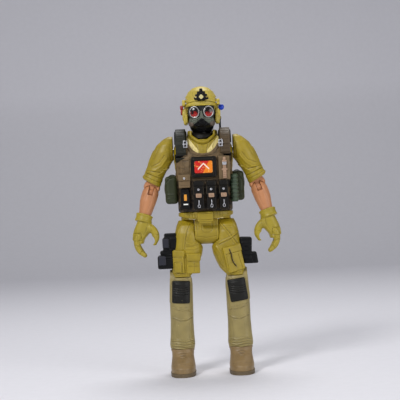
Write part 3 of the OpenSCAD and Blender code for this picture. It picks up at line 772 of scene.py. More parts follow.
def vest_paint():
    """Brown plastic, sprayed dark below, with painted shade in its grooves and a painted highlight on its ridges.
    """
    material, tree, shader = start_material("vest_paint")
    split = tree.nodes.new("ShaderNodeSeparateXYZ")
    tree.links.new(tree.nodes.new("ShaderNodeTexCoord").outputs["Object"], split.inputs["Vector"])
    low = add_range(tree, split.outputs["Z"], SPRAY_LOW_Z, SPRAY_HIGH_Z)
    body = add_mix(tree, low, shaded(DARK, 0.7), shaded(BROWN, 1.15))
    body = add_mix(tree, add_range(tree, add_noise(tree, 240), 0.42, 0.7), body, shaded(BROWN, 0.62))
    point = tree.nodes.new("ShaderNodeNewGeometry").outputs["Pointiness"]
    # Painted shade: the grooves are darkened.
    body = add_mix(tree, add_range(tree, point, 0.5, 0.45), body, shaded(DARK, 0.3))
    # Painted highlight: the ridges are made a pale brown.
    body = add_mix(tree, add_range(tree, point, 0.53, 0.62), body, shaded(BROWN, 1.5))
    tree.links.new(body, shader.inputs["Base Color"])
    shader.inputs["Roughness"].default_value = 0.5
    shader.inputs["Specular IOR Level"].default_value = 0.25
    add_bump(tree, shader, 1100, 0.0001)
    return material


finish["vest"] = vest_paint()
vest_front, vest_back = split_in_two(vest, 0.4)
finished(vest_front, "vest_front_shell", "torso", "brown", "vest_front", look="vest")
finished(vest_back, "vest_back_shell", "torso", "brown", "vest_back", look="vest")

# %% [markdown]
# ## Straps over the shoulders
# Each strap is an arch cut from a thick hoop: a squeezed drum with a square foot, hollowed by a smaller
# one. The dark pad lies under it. Quilting seams are pressed across the strap, front and back, and a silver
# buckle sits at the front.

# %% Straps
STRAP_TURN_Z = 236


def arch(half_depth, crown, foot, x, width, thick):
    """A strap over the shoulder: an outer drum with legs, hollowed by an inner one."""
    shells = []
    for inset, extra in ((0, 0), (thick, 4)):
        drum = peg(half_depth - inset, width + extra, (x, 0, STRAP_TURN_Z), (0, 90, 0), sides=64)
        pick(drum)
        bpy.ops.transform.resize(
            value=(1, 1, (crown - inset - STRAP_TURN_Z) / (half_depth - inset)),
            center_override=spot(0, 0, STRAP_TURN_Z))
        settle(drum)
        tall = STRAP_TURN_Z - foot + extra
        legs = slab((width + extra, 2 * (half_depth - inset), tall),
                    (x, 0, STRAP_TURN_Z - tall / 2), edge=0.1)
        shells.append(melt([drum, legs], 0.6, 1))
    return carve(shells[0], shells[1])


for side, name, look, colour in ((-1, "right", "strap_dark", linear(32, 33, 24)),
                                 (1, "left", "strap_brown", linear(72, 58, 39))):
    pad = arch(21.6, 253.8, 239, side * 23, 13, 3.2)
    pad = melt([carve(pad, slab((20, 60, 10), (side * 23, 0, 234)))], 0.5, 3)
    cover = melt([arch(23.4, 256, 229.4, side * 23, 10.8, 2.4)], 0.45, 3)
    for height in (251.5, 247, 242.6, 237.4, 233):
        for seen in ("front", "back"):
            draw(cover, [(side * 17.4, height), (side * 28.6, height)], 0.9, -0.4, seen)
    for edge_x in (18.6, 27.4):
        draw(cover, [(side * edge_x, 254), (side * edge_x, 231)], 0.8, 0.3, "front")
    pad_nodes, cover_nodes = (["strap_pads"], ["strap_covers"]) if side < 0 else ([], [])
    finish[look] = moulded(look + "_plastic", colour, groove=0.2, ridge=1.5, shine=0.3)
    finished(pad, name + "_strap_pad", "torso", "black", *pad_nodes)
    finished(cover, name + "_strap_cover", "torso", "brown", *cover_nodes, look=look)

# %% Strap buckles
buckles = []
for side in (-1, 1):
    frame_part = slab((4.4, 1.6, 7.4), (side * 18.2, -24.2, 238.8), edge=0.5)
    frame_part = carve(frame_part, slab((2, 6, 2), (side * 18.2, -24.2, 240.6), edge=0.3),
                       slab((2, 6, 2), (side * 18.2, -24.2, 237.2), edge=0.3))
    buckles += [frame_part, peg(0.5, 5.4, (side * 18.2, -25, 239), (0, 90, 0))]
pick(*buckles)
bpy.ops.object.join()
finished(bpy.context.object, "strap_buckle_frames", "torso", "steel", "strap_buckles")

# %% [markdown]
# ## Pouches and gear on the chest
# Each pouch is a rounded block with a flap, pressed together and melted so the flap runs into the body.
# The seams are then scored round the flap. Snaps, clips and hooks stay separate, because they are painted
# in other colours.

# %% Chest panel and snap pouch
panel = melt([slab((26.6, 7.6, 21.4), (-0.2, -21.4, 214.8), edge=1.6),
              slab((21, 7, 17), (-0.3, -22.6, 215), edge=0.6)], 0.45, 2)
panel = carve(panel, slab((27, 20, 30), (-0.2, -9.2, 214)))
for height in (223.4, 206.6):
    draw(panel, [(-12.6, height), (12.4, height)], 0.8, -0.45)
finished(panel, "chest_panel", "torso", "brown", "chest_pouches", look="dark")

snap_pouch = [slab((12, 7.6, 13.4), (-20.8, -20.9, 200.6), edge=0.9),
              slab((12.6, 3.4, 6.4), (-20.8, -24.2, 204.4), edge=0.8)]
snap_pouch = melt(snap_pouch, 0.45, 2)
draw(snap_pouch, [(-26.4, 201), (-15.2, 201)], 0.9, -0.6)
draw(snap_pouch, [(-25.6, 207), (-25.6, 202), (-16, 202), (-16, 207)], 0.6, -0.3, dash=0.9)
draw(snap_pouch, [(-26, 196.4), (-15.6, 196.4)], 0.6, -0.3)
finished(snap_pouch, "snap_pouch", "torso", "brown")


# %% [markdown]
# ## The chest patch
# A printed patch sits in the middle of the panel. It shows a plain chevron over a red and an orange
# field. Sums of X and Z make slanted and bent bands, so the whole print is a little arithmetic, with
# speckles from fine noise.


# %% Patch print
MIDDLE_SHIFT, CHEVRON_TIP_Z = 0.0004, 0.2182
CHEVRON_THICK, CHEVRON_REACH = 0.0009, 0.0058
FIELD_SLANT, FIELDS_MEET = -0.55, -0.116
PATCH_RED, PATCH_ORANGE = linear(196, 28, 20), linear(226, 126, 24)


def patch_paint():
    """A red field and an orange field that meet on a slant, with a pale chevron between them."""
    material, tree, shader = start_material("patch_paint")
    split = tree.nodes.new("ShaderNodeSeparateXYZ")
    tree.links.new(tree.nodes.new("ShaderNodeTexCoord").outputs["Object"], split.inputs["Vector"])

    def maths(kind, first, second):
        node = tree.nodes.new("ShaderNodeMath")
        node.operation = kind
        for socket, value in zip(node.inputs, (first, second)):
            if isinstance(value, (int, float)):
                socket.default_value = value
            else:
                tree.links.new(value, socket)
        return node.outputs["Value"]

    slant = maths("ADD", split.outputs["X"], maths("MULTIPLY", split.outputs["Z"], FIELD_SLANT))
    orange = add_range(tree, slant, FIELDS_MEET - 0.0002, FIELDS_MEET + 0.0002)
    colour = add_mix(tree, orange, PATCH_RED, PATCH_ORANGE)
    aside = maths("ABSOLUTE", maths("ADD", split.outputs["X"], MIDDLE_SHIFT), 0)
    bent = maths("ADD", aside, maths("ADD", split.outputs["Z"], -CHEVRON_TIP_Z))
    stripe = maths("LESS_THAN", maths("ABSOLUTE", bent, 0), CHEVRON_THICK)
    near = maths("LESS_THAN", aside, CHEVRON_REACH)
    colour = add_mix(tree, maths("MULTIPLY", stripe, near), colour, linear(236, 216, 200))
    colour = add_mix(tree, add_range(tree, add_noise(tree, 700), 0.62, 0.66), colour, linear(244, 190, 90))
    tree.links.new(colour, shader.inputs["Base Color"])
    shader.inputs["Roughness"].default_value = 0.3
    return material


# %% Patch plate: two crossed blocks and four round corners
finish["patch"] = patch_paint()
PATCH_X, PATCH_Y, PATCH_Z = -0.4, -26.4, 214.6
patch = [slab((18.6, 1.7, 9.4), (PATCH_X, PATCH_Y, PATCH_Z), edge=0.4),
         slab((15.6, 1.7, 12.4), (PATCH_X, PATCH_Y, PATCH_Z), edge=0.4)]
patch += [peg(1.6, 1.7, (PATCH_X + 7.7 * across, PATCH_Y, PATCH_Z + 4.6 * up), (90, 0, 0))
          for across in (-1, 1) for up in (-1, 1)]
patch = melt(patch, 0.25, 2)
finished(patch, "chest_patch_plate", "torso", "patch_red", "chest_patch", look="patch")

# %% [markdown]
# ## The knife
# The sheathed knife is cast with the vest but painted tan. It is a stack of small blocks: sheath, guard,
# grip and pommel. Grooves across it suggest cord wrapping.

# %% Knife on its panel
knife_panel = melt([slab((11.6, 4.6, 24.4), (21, -20.9, 213.2), edge=0.8)], 0.45, 2)
knife_panel = carve(knife_panel, slab((20, 10, 40), (21, -14.2, 213), edge=0.1))
finished(knife_panel, "knife_panel", "torso", "brown")
knife = [slab((3.8, 2, 9), (21.2, -23.9, 206.6), edge=0.8),
         slab((6, 2.2, 1.6), (21.2, -24, 211.4), edge=0.5),
         slab((3.4, 2.4, 6), (21.2, -24, 214.8), edge=0.9),
         slab((5, 2.4, 3.6), (21.2, -24, 219.2), edge=0.9),
         slab((3, 2.2, 3), (21.2, -24, 222.6), edge=0.8)]
knife = melt(knife, 0.3, 2)
for height in (203.6, 206, 208.4, 213.4, 215.4):
    draw(knife, [(18.6, height), (23.8, height)], 0.7, -0.5)
finished(knife, "chest_knife_cast", "torso", "tan", "chest_knife")
pommel = melt([slab((4.4, 1.2, 3.4), (21.2, -25.2, 217.6), edge=0.5)], 0.3, 1)
finished(pommel, "knife_pommel", "torso", "steel")

# %% [markdown]
# ## Magazine pouches
# Three pouches stand in a row. Each is a body, a fuller top and a flap, and each carries a snap, a
# webbing clip and a hook below it. One loop makes all three, and a second loop works the seams.

# %% Magazine pouches with their snaps, clips and hooks
pouches, fittings, clips = [], [], []
for x, front_y, wide in ((-6.6, -27.4, 10.8), (6.4, -27.4, 10), (19.2, -26.2, 9.4)):
    pouches += [slab((wide, 7, 21), (x, front_y + 3.6, 181.5), edge=1),
                slab((wide - 0.6, 6.4, 12.6), (x, front_y + 3.9, 194.6), edge=1.4),
                slab((wide - 0.4, 2.4, 9), (x, front_y + 0.9, 190.4), edge=0.8)]
    fittings += [peg(1.25, 1, (x, front_y - 0.4, 191.6), (90, 0, 0), 0.35),
                 hoop(1.5, 0.42, (x, front_y + 0.1, 174.6), (0.8, 1, 1.3)),
                 slab((0.9, 0.9, 4.4), (x, front_y, 178.6), edge=0.3)]
    clips += [slab((5.8, 1.5, 4.2), (x, front_y - 0.5, 185.4), edge=0.5)]
pouches = melt(pouches, 0.42, 2)
for x, half in ((-6.6, 5), (6.4, 4.6), (19.2, 4.3)):
    draw(pouches, [(x - half, 199), (x - half, 187), (x + half, 187), (x + half, 199)], 0.9, 0.55)
    draw(pouches, [(x - half, 195.4), (x + half, 195.4)], 0.8, -0.5)
    draw(pouches, [(x - half, 183), (x + half, 183)], 0.8, -0.5)
    draw(pouches, [(x - 2.6, 182), (x - 2.6, 172.5)], 0.7, -0.45)
    draw(pouches, [(x + 2.6, 182), (x + 2.6, 172.5)], 0.7, -0.45)
finished(pouches, "magazine_pouch_row", "torso", "black", "magazine_pouches", look="dark")

# %% Clips, snaps and hooks
clips = melt(clips, 0.25, 1)
for x in (-6.6, 6.4, 19.2):
    for step in (-1.4, 0, 1.4):
        draw(clips, [(x + step, 184), (x + step, 186.8)], 0.7, -0.4)
finished(clips, "pouch_clip_row", "torso", "tan", "pouch_clips")
fittings.append(peg(1.2, 1.2, (-20.8, -25.9, 203.6), (90, 0, 0), 0.35))
pick(*fittings)
bpy.ops.object.join()
finished(bpy.context.object, "snaps_and_hooks", "torso", "steel", "pouch_fittings")

# %% [markdown]
# ## The radio
# The radio is a block with a display on its face, and a short aerial stands behind the left shoulder. The
# display and the pale bar are separate pieces, because paint on such small areas has hard edges.

# %% Radio and aerial
radio = melt([slab((9.4, 8, 20.6), (-20.6, -20.9, 182.8), edge=0.9),
              slab((4.4, 2, 8), (-20.4, -24.6, 184), edge=0.4),
              slab((7.6, 2, 2.4), (-20.4, -24.6, 191.2), edge=0.5),
              peg(1, 3, (-23.6, -21, 194), edge=0.2)], 0.42, 2)
draw(radio, [(-24.4, 178.6), (-16.6, 178.6)], 0.7, -0.5)
aerial = [peg(1.1, 13.4, (19.4, 16.4, 259.6), sides=24), peg(1.6, 3.6, (19.4, 16.4, 267.4), edge=0.6),
          peg(1.5, 2, (19.4, 16.4, 255), edge=0.4)]
pick(radio, *aerial)
bpy.ops.object.join()
finished(radio, "radio_and_aerial", "torso", "black", "radio")
finish["display"] = moulded("radio_display_paint", linear(196, 132, 44), rough=0.3)
display = slab((2.9, 0.8, 6.4), (-20.3, -25.7, 184), edge=0.25)
finished(display, "radio_display", "torso", "patch_red", look="display")
finish["white"] = moulded("white_paint", linear(214, 214, 208), rough=0.4)
label = slab((4.8, 0.7, 1.3), (-20.2, -24.9, 177), edge=0.2)
finished(label, "radio_label_bar", "torso", "steel", look="white")

# %% [markdown]
# ## Green gear at the waist
# Padded pouches hang at both sides, and a ribbed canister stands in front of the left one. A ball pressed
# into a rounded block gives the swell of padding. A slightly smaller copy of the vest is cut out of the
# pouches, so they bed onto it.

# %% Side pouches
right_pouch = [slab((13, 25, 29), (-34.8, 1.6, 192.4), edge=3.4),
               ball(13.4, (-33.6, 1.6, 194), (0.66, 0.9, 1.12))]
right_pouch = melt(right_pouch, 0.55, 4)
left_pouch = [slab((13, 21, 31), (35, 6.6, 194.4), edge=3.4), ball(13, (34.4, 6.6, 198), (0.62, 0.8, 1.05))]
left_pouch = melt(left_pouch, 0.55, 4)
for pouch, side in ((right_pouch, -1), (left_pouch, 1)):
    draw(pouch, [(side * 28, 206), (side * 36, 204.6), (side * 43, 197)], 1.1, -0.7)
    draw(pouch, [(side * 28, 188), (side * 42, 188)], 1.4, 0.6)
    draw(pouch, [(side * 30, 183.5), (side * 42, 185)], 1, -0.5)
    draw(pouch, [(side * 38.6, 205), (side * 40, 194), (side * 38, 181)], 1, -0.5)
pick(right_pouch, left_pouch)
bpy.ops.object.join()
pouch_cut = grow([(x, y, z, wide - 0.2, deep - 0.2) for x, y, z, wide, deep in vest_rings], 3.2, 40)
carve(right_pouch, pouch_cut)
finished(right_pouch, "side_pouch_pair", "torso", "moss", "side_pouches")

# %% Canister
canister = [peg(3.8, 29, (30.6, -12.4, 192.2), edge=0.8)]
canister += [peg(4.5, 2, (30.6, -12.4, 180.4 + 4 * row), edge=0.5) for row in range(7)]
canister = melt(canister, 0.4, 2)
finish["canister"] = moulded("canister_plastic", linear(58, 74, 54), groove=0.3, ridge=1.35)
finished(canister, "ribbed_canister", "torso", "moss", "smoke_canister", look="canister")

# %% [markdown]
# ## Belt, buckle and hips
# The belt is a band with loops scored into it. The buckle plate overlaps the top of the hip block, which
# is a drum with a square top. Its fly panel is a raised outline. Two thin screens hang behind the belt's
# lower edge, because daylight would otherwise show between it and the swinging thighs.

# %% Belt
belt = grow([(0, 1, 160.9, 27.8, 18), (0, 1, 161.8, 28.6, 18.8), (0, 1, 167.6, 28.6, 18.8),
             (0, 1, 168.7, 27.8, 18)], 2.6, 40)
belt = melt([carve(belt, grow([(0, 1, 158, 25.6, 15.6), (0, 1, 172, 25.6, 15.6)], 2.6, 40))], 0.5, 2)
BELT_TOP, SIDE_NARROWING = 168.7 * MM, 0.45
for corner in belt.data.vertices:
    narrowed = 1 - SIDE_NARROWING * (corner.co.x / (28 * MM)) ** 2
    corner.co.z = BELT_TOP - (BELT_TOP - corner.co.z) * narrowed
for seen in ("front", "back"):
    draw(belt, [(-26, 168), (26, 168)], 0.8, 0.35, seen)
    draw(belt, [(-26, 166), (-15, 164.2), (0, 163.2), (15, 164.2), (26, 166)], 0.8, 0.35, seen)
    for x in (11.4, 14.4, 17.4, 22.6):
        for side in (-1, 1):
            draw(belt, [(side * x, 168), (side * x, 162)], 0.8, -0.5, seen)
screens = [slab((13, 1.2, 8), (side * 19.6, 9.2, 162.2), edge=0.3) for side in (-1, 1)]
pick(belt, *screens)
bpy.ops.object.join()
finished(belt, "belt_band", "torso", "olive", "belt")

# %% Buckle
buckle = melt([slab((16.6, 4, 10.4), (-0.8, -19.3, 163.5), edge=1.2),
               slab((13.6, 3, 4), (-0.8, -18.6, 158.4), edge=1)], 0.42, 2)
buckle = carve(buckle, slab((30, 10, 30), (0, -12.9, 163), edge=0.1))
draw(buckle, [(-8, 166.6), (6.4, 166.6)], 0.8, -0.5)
draw(buckle, [(-8, 160.4), (6.4, 160.4)], 0.9, -0.6)
finished(buckle, "belt_buckle_plate", "torso", "olive", "belt_buckle")

# %% Hips
hips = melt([peg(12.4, 24.9, (0, 0, 147), (0, 90, 0), 0.6, 64),
             slab((24.9, 20.6, 14), (0, 0, 153.8), edge=0.6)], 0.5, 3)
draw(hips, [(-5, 158), (-4.8, 149.6), (-3, 147.4), (3.6, 147.2), (5.6, 149.4), (6, 158)], 0.9, -0.5)
draw(hips, [(0.4, 158), (0.6, 148)], 0.8, -0.3)
draw(hips, [(-11, 150.5), (-6.4, 151.2)], 1.2, -0.25)
draw(hips, [(-11, 143), (0, 141.6), (11, 143)], 1, -0.4)
for side in (-1, 1):
    draw(hips, [(side * 9.6, 158), (side * 10, 138)], 0.9, -0.35)
finished(hips, "hip_drum", "torso", "olive", "hip_block")

# %% [markdown]
# ## The helmet
# The helmet is a shell grown from rings and hollowed to fit the hood. A brow band is raised round it, and
# side rails, ear guards and their flaps are pressed on. The black mount plate and the coloured knobs are
# separate.


# %% Helmet
def hood(spare):
    """A copy of the hood inside the helmet, larger by the spare room, for cutting things to fit it."""
    return grow([(x, y, z, wide + spare, deep + spare) for x, y, z, wide, deep in head_rings], 2.2, 40)


head_rings = [(0, 1, 252.2, 9.5, 9.6), (0, 0.4, 255.6, 12, 12), (0, 1, 262, 13.6, 15),
              (0, 1.5, 272, 14.4, 16), (0, 1.8, 284, 14.4, 16.4), (0, 1.8, 292, 11.4, 13),
              (0, 1.8, 296.6, 5.5, 6.5)]
helmet_rings = [(0, 3.6, 262.6, 16.4, 17.6), (0, 2.4, 268, 17.4, 19.4), (0, 1.6, 277, 18, 21.4),
                (0, 1.6, 283, 17.7, 21.2), (0, 1.6, 289, 16.1, 19.4), (0, 1.6, 294.4, 13, 16),
                (0, 1.6, 298.2, 8.4, 10.6), (0, 1.6, 299.9, 3, 4)]
helmet = melt([grow(helmet_rings, 2.15, 64)], 0.45, 8)
band = [(-19, 281), (-14, 281.8), (-7, 283), (0, 283.4), (7, 283), (14, 281.8), (19, 281)]
draw(helmet, band, 1.2, -0.9)
draw(helmet, [(x, z + 1.6) for x, z in band], 1.6, 0.4)
draw(helmet, [(x, z - 4.2) for x, z in band], 2, 0.8)
draw(helmet, [(x, z) for x, z in band], 1.2, -0.5, "back")
for side in (-1, 1):
    draw(helmet, [(side * 6.4, 285), (side * 8.6, 290), (side * 8.2, 296)], 1, -0.3)
helmet = carve(helmet, hood(0.3), slab((60, 40, 30), (0, -25.4, 263.4), edge=0.3),
               peg(15, 20, (0, 0, 256), edge=0.1, sides=48))
finished(helmet, "helmet_shell", "head", "olive", "helmet", look="helmet")

# %% [markdown]
# ## Rails, ear guards and bolts
# The rail, the round ear cup and its flap are one casting on each side. They are pressed together from
# blocks and pegs and then hollowed with the same hood as the helmet. Silver bolts hold the rails.

# %% Rails, ear guards and bolts
guards = []
for side in (-1, 1):
    guards += [slab((3.4, 17, 6.2), (side * 17.9, -4, 282.4), edge=1.1),
               slab((3, 9, 4), (side * 18.2, -7, 281.9), edge=0.8),
               peg(6.3, 5.4, (side * 17.2, -1, 270.6), (0, 90, 0), 1.3, 40),
               slab((4.6, 12, 17), (side * 16.6, -1, 268.4), edge=1.8),
               slab((3, 7, 9), (side * 14.9, -7, 266), (0, 0, side * 20), edge=1)]
guards = melt(guards, 0.5, 3)
for side, seen in ((-1, "inner"), (1, "outer")):
    draw(guards, [(-11, 282.4), (4, 282.4)], 1, -0.5, seen)
    draw(guards, [(-5, 274.6), (-5.6, 271), (-3.4, 267)], 1, -0.5, seen)
finished(carve(guards, hood(0.3)), "rails_and_ear_guards", "head", "olive", "ear_guards", look="helmet")
bolts = [peg(0.75, 1.2, (side * 15.6, -16.4, z), (90, 0, side * -42), 0.2)
         for side in (-1, 1) for z in (285.6, 281.4)]
pick(*bolts)
bpy.ops.object.join()
finished(bpy.context.object, "helmet_bolts", "head", "steel")

# %% [markdown]
# ## The mount plate and the knobs
# The front plate is a small cross of black blocks with two holes and a pale catch. The red and the blue
# knob sit on the ear cups, and each is a peg with a smaller shape pressed onto it.

# %% Mount plate and its catch
mount = [slab((12.6, 3, 6), (0.5, -21.6, 287), (-12, 0, 0), edge=1),
         slab((8.6, 3, 10), (0.5, -21.2, 288), (-14, 0, 0), edge=1),
         slab((3.4, 3.6, 4), (0.5, -19.2, 293.8), (-30, 0, 0), edge=0.9),
         slab((15, 2.4, 3), (0.5, -20.9, 285.8), edge=0.8)]
mount = melt(mount, 0.4, 2)
mount = carve(mount, peg(1, 20, (-5.2, -22, 287), (90, 0, 0)), peg(1, 20, (6.2, -22, 287), (90, 0, 0)))
finished(mount, "front_mount_plate", "head", "black", "helmet_mount")
finish["gold"] = moulded("pale_gold_paint", linear(196, 186, 128), groove=0.4, rough=0.35)
catch = melt([slab((4.6, 1.6, 2.2), (0.5, -23.4, 287), edge=0.4),
              slab((2.2, 1.6, 4.6), (0.5, -23.3, 287), edge=0.4)], 0.3, 1)
finished(catch, "mount_plate_catch", "head", "tan", look="gold")

# %% Knobs
red_knob = melt([peg(3.7, 2.6, (-20.3, -1, 274), (0, 90, 0), 0.6),
                 peg(2.4, 3.2, (-20.4, -3.4, 278), (0, 90, 0), 0.6)], 0.35, 2)
finished(red_knob, "red_knob", "head", "red", "red_ear_knob")
finished(peg(1.4, 1, (-21.6, -2, 275), (0, 90, 0), 0.2), "red_knob_centre", "head", "steel", look="white")
blue_knob = melt([peg(3.1, 4, (21, -4.6, 277), (90, 0, 0), 0.8),
                  ball(2.7, (21, -6.4, 277), (1, 0.7, 1))], 0.35, 2)
finished(blue_knob, "blue_knob", "head", "blue", "blue_ear_knob")

# %% [markdown]
# ## The gas mask
# The mask covers the whole face. Its dark rubber face carries two round lenses in silver rings. A grey
# plate runs down between them, curls under both like a heart, and ends in a black muzzle with a filter at
# either corner.

# %% Rubber face
LENS_X, LENS_Y, LENS_Z, LENS_TURN = 7.4, -18.7, 271.7, 12
rubber = grow([(0, -5.4, 255.2, 8.4, 10), (0, -6, 258, 11.8, 12.2), (0, -6, 264, 13.4, 13.4),
               (0, -6, 272, 13.6, 13.6), (0, -6, 279, 13.4, 12.8)], 2.4, 40)
bosses = [peg(6.6, 4, (s * LENS_X, LENS_Y + 1.4, LENS_Z), (90, 0, s * LENS_TURN), 0.6, 40) for s in (-1, 1)]
rubber = melt([rubber] + bosses, 0.45, 3)
rubber = carve(rubber, hood(0.1), slab((60, 40, 60), (0, 19, 266), edge=0.1))
finish["rubber"] = moulded("black_rubber", linear(18, 20, 18), groove=0.4, ridge=1.8, rough=0.42, shine=0.3)
finished(rubber, "mask_rubber_face", "head", "mask_grey", "gas_mask", look="rubber")

# %% Cheek plate
plate = [ball(6.8, (s * 6.2, -14.8, 264.4), (1.06, 0.78, 0.78), (0, s * 24, 0)) for s in (-1, 1)]
plate += [slab((4.4, 4, 10), (0, -18.4, 268), edge=1.4),
          slab((8, 3.4, 5), (0, -18, 264.6), (10, 0, 0), 1.4)]
plate = melt(plate, 0.4, 4)
lens_room = [peg(6.5, 30, (s * LENS_X, LENS_Y, LENS_Z), (90, 0, s * LENS_TURN), 0.2, 40) for s in (-1, 1)]
plate = carve(plate, *lens_room, slab((40, 30, 40), (0, 0.6, 264), edge=0.1))
plate = melt([plate], 0.4, 2)
for s in (-1, 1):
    draw(plate, [(s * 1.6, 267), (s * 3.4, 264), (s * 8, 263), (s * 12, 266)], 1.1, -0.5)
    draw(plate, [(s * 9.6, 266.4), (s * 11, 262), (s * 9.4, 259.6)], 1, -0.5)
finished(plate, "mask_cheek_plate", "head", "mask_grey")

# %% Muzzle and side filters
muzzle = [ball(6.8, (0, -15.8, 260.2), (1.14, 0.74, 0.6)),
          peg(3.4, 4.4, (0, -20, 261.6), (90, 0, 0), 0.8, 40),
          slab((11, 3, 2.4), (0, -18.2, 258.4), edge=1), slab((8, 4, 2), (0, -14.9, 256.2), edge=0.8)]
for s in (-1, 1):
    muzzle.append(slab((7, 2.4, 2.2), (s * 6.4, -17, 259.6), (0, s * 28, s * 20), edge=0.8))
muzzle = melt(muzzle, 0.35, 2)
for height in (262.6, 261.4, 260.2):
    draw(muzzle, [(-2, height), (2, height)], 0.7, -0.5)
for s in (-1, 1):
    draw(muzzle, [(s * 3.6, 262.6), (s * 4.6, 259.6), (s * 4.2, 257.4)], 0.9, -0.5)
    draw(muzzle, [(s * 1, 257.6), (s * 6.4, 258)], 0.7, 0.4)
finished(muzzle, "mask_muzzle", "head", "black", "mask_filters")
corners = []
for s in (-1, 1):
    corners += [peg(3.4, 4.6, (s * 10.2, -15, 260.4), (90, 0, s * 46), 0.7, 32),
                peg(2.2, 5.6, (s * 10.2, -15, 260.4), (90, 0, s * 46), 0.5, 32)]
finish["filter"] = moulded("filter_plastic", linear(84, 72, 60), groove=0.3, ridge=1.4)
finished(melt(corners, 0.35, 2), "mask_side_filters", "head", "mask_grey", look="filter")

# %% [markdown]
# ## The lenses
# Each lens is a flattened ball behind a silver ring. Both are turned a little outwards, as they follow
# the curve of the face. The rings are rolled metal on a real mask, and here they are thin hoops stretched
# slightly upwards.

# %% Lens rings and lenses
rings = [hoop(5.05, 0.58, (s * LENS_X, LENS_Y - 1.2, LENS_Z), (0.96, 1, 1), (90, 0, s * LENS_TURN))
         for s in (-1, 1)]
for ring in rings:
    pick(ring)
    bpy.ops.transform.resize(value=(1, 1, 1.1), center_override=spot(0, 0, LENS_Z))
    settle(ring)
pick(*rings)
bpy.ops.object.join()
finish["ring"] = metal("lens_ring_silver", linear(168, 166, 162), 0.36)
finished(bpy.context.object, "lens_ring_pair", "head", "steel", "lens_rings", look="ring")
glass = [ball(5.1, (s * LENS_X, LENS_Y - 0.4, LENS_Z), (0.96, 0.3, 1.06), (0, 0, s * LENS_TURN))
         for s in (-1, 1)]
pick(*glass)
bpy.ops.object.join()
finished(bpy.context.object, "lens_pair", "head", "lens", "lenses")

# %% [markdown]
# ## The arms
# The left arm is made first and a mirrored copy serves the right side. The sleeve is grown, cut off at a
# slant, and finished with a rolled cuff. Folds run round it towards the inside of the elbow. The skin
# parts turn round the elbow pin, so the forearm is grown upright at the pin and then leaned into place.

# %% Sleeve
ELBOW_AT, WRIST_AT = (57, 0, 190.6), (64.12, -3.42, 167.3)
ELBOW, WRIST = spot(*ELBOW_AT), spot(*WRIST_AT)
SPLAY, FORWARD = -17, -8
SLEEVE_SLANT = -29
SLEEVE_END_AT = (56, 0, 200.8)


def turned(piece, about, x=0, y=0):
    """Leans a finished mesh about a point: first about X, then about Y, in degrees."""
    lean = Matrix.Rotation(math.radians(y), 4, "Y") @ Matrix.Rotation(math.radians(x), 4, "X")
    piece.data.transform(Matrix.Translation(about) @ lean @ Matrix.Translation(-about))
    return piece


def slanted_block(lift):
    """A block whose middle lies lift above or below the slanted end of the sleeve."""
    block = slab((60, 60, 30), SLEEVE_END_AT, edge=0.05)
    block.data.transform(Matrix.Translation(Vector((0, 0, lift * MM))))
    return turned(block, spot(*SLEEVE_END_AT), 0, SLEEVE_SLANT)


sleeve_rings = [(55.4, 0, 196, 8.6, 8.8), (54, 0, 203, 9.6, 9.8), (50.8, 0, 212, 11.4, 10.6),
                (45.2, 0, 222, 12.6, 11.8), (40.6, 0, 232, 12.8, 12.6), (37.6, 0, 240, 11, 11.6),
                (35, 0, 246, 6.4, 8), (34, 0, 248.6, 2, 3)]
cuff = [peg(10.2, 8.6, (54, 0, 205.2), (0, SLEEVE_SLANT, 0), 1.6, 48),
        peg(10.8, 4, (55, 0, 203.4), (0, SLEEVE_SLANT, 0), 1.6, 48)]
sleeve = melt([grow(sleeve_rings, 2, 36)] + cuff, 0.6, 5)
sleeve = carve(sleeve, slanted_block(-15), slab((40, 80, 120), (11.4, 0, 220), edge=0.05),
               ball(9.1, ELBOW_AT))
sleeve = melt([sleeve], 0.55, 2)
print("sleeve", len(sleeve.data.polygons), "faces")

# %% Folds in the sleeve
folds = [([(38, 226), (44, 218), (50, 214), (58, 214)], 3.4, 0.7),
         ([(35, 222), (41, 213), (48, 209)], 2.6, 0.6),
         ([(36, 219), (42, 210.6)], 1.8, -0.7), ([(40, 229), (46, 221.4), (55, 218)], 2, -0.6),
         ([(46, 211.4), (53, 212.6), (61, 215)], 1.6, -0.7), ([(50, 238), (56, 226), (58, 220)], 3, 0.6),
         ([(46, 237), (52, 226)], 2, -0.5), ([(45, 204.8), (53, 208.2), (62, 212.6)], 1.4, -0.8),
         ([(46.4, 200.8), (55, 204.8), (64, 209.6)], 1.2, -0.6),
         ([(33.6, 240), (34, 228), (33.4, 218)], 1.4, -0.5)]
for seen in ("front", "back"):
    for line, width, height in folds:
        draw(sleeve, line, width, height, seen)
draw(sleeve, [(-8, 214), (0, 216.4), (8, 213)], 2.4, 0.7, "inner")
draw(sleeve, [(-8, 222), (0, 225), (8, 221)], 2.4, 0.6, "inner")
draw(sleeve, [(-7, 218), (1, 220.4), (8, 217)], 1.8, -0.6, "inner")

# %% [markdown]
# ## Elbow and forearm
# A knob of bare arm ends in a tongue, and the tongue sits in a slot in the forearm, with a pin through
# both. The knob is hollowed with the ball that the forearm's end sweeps. The slot is left open in front,
# as far as the bend needs.

# %% Elbow
elbow = melt([ball(8.7, (55.4, 0, 196.2))], 0.5, 1)
elbow = carve(elbow, ball(9.15, ELBOW_AT, rings=24), slab((40, 12, 40), (56, -10.4, 196), edge=0.05),
              slab((40, 12, 40), (56, 10.8, 196), edge=0.05))
elbow = carve(elbow, slanted_block(15.6))
tongue = melt([peg(5.2, 4.8, ELBOW_AT, (0, 90, 0), 0.3, 40),
               slab((4.8, 7, 14.6), (57, 0, 197.9), edge=0.4)], 0.4, 1)
tongue = carve(tongue, peg(1.6, 20, ELBOW_AT, (0, 90, 0), 0.05))
turned(tongue, ELBOW, 0, SPLAY)
pick(elbow, tongue)
bpy.ops.object.join()
print("elbow", len(elbow.data.polygons), "faces")

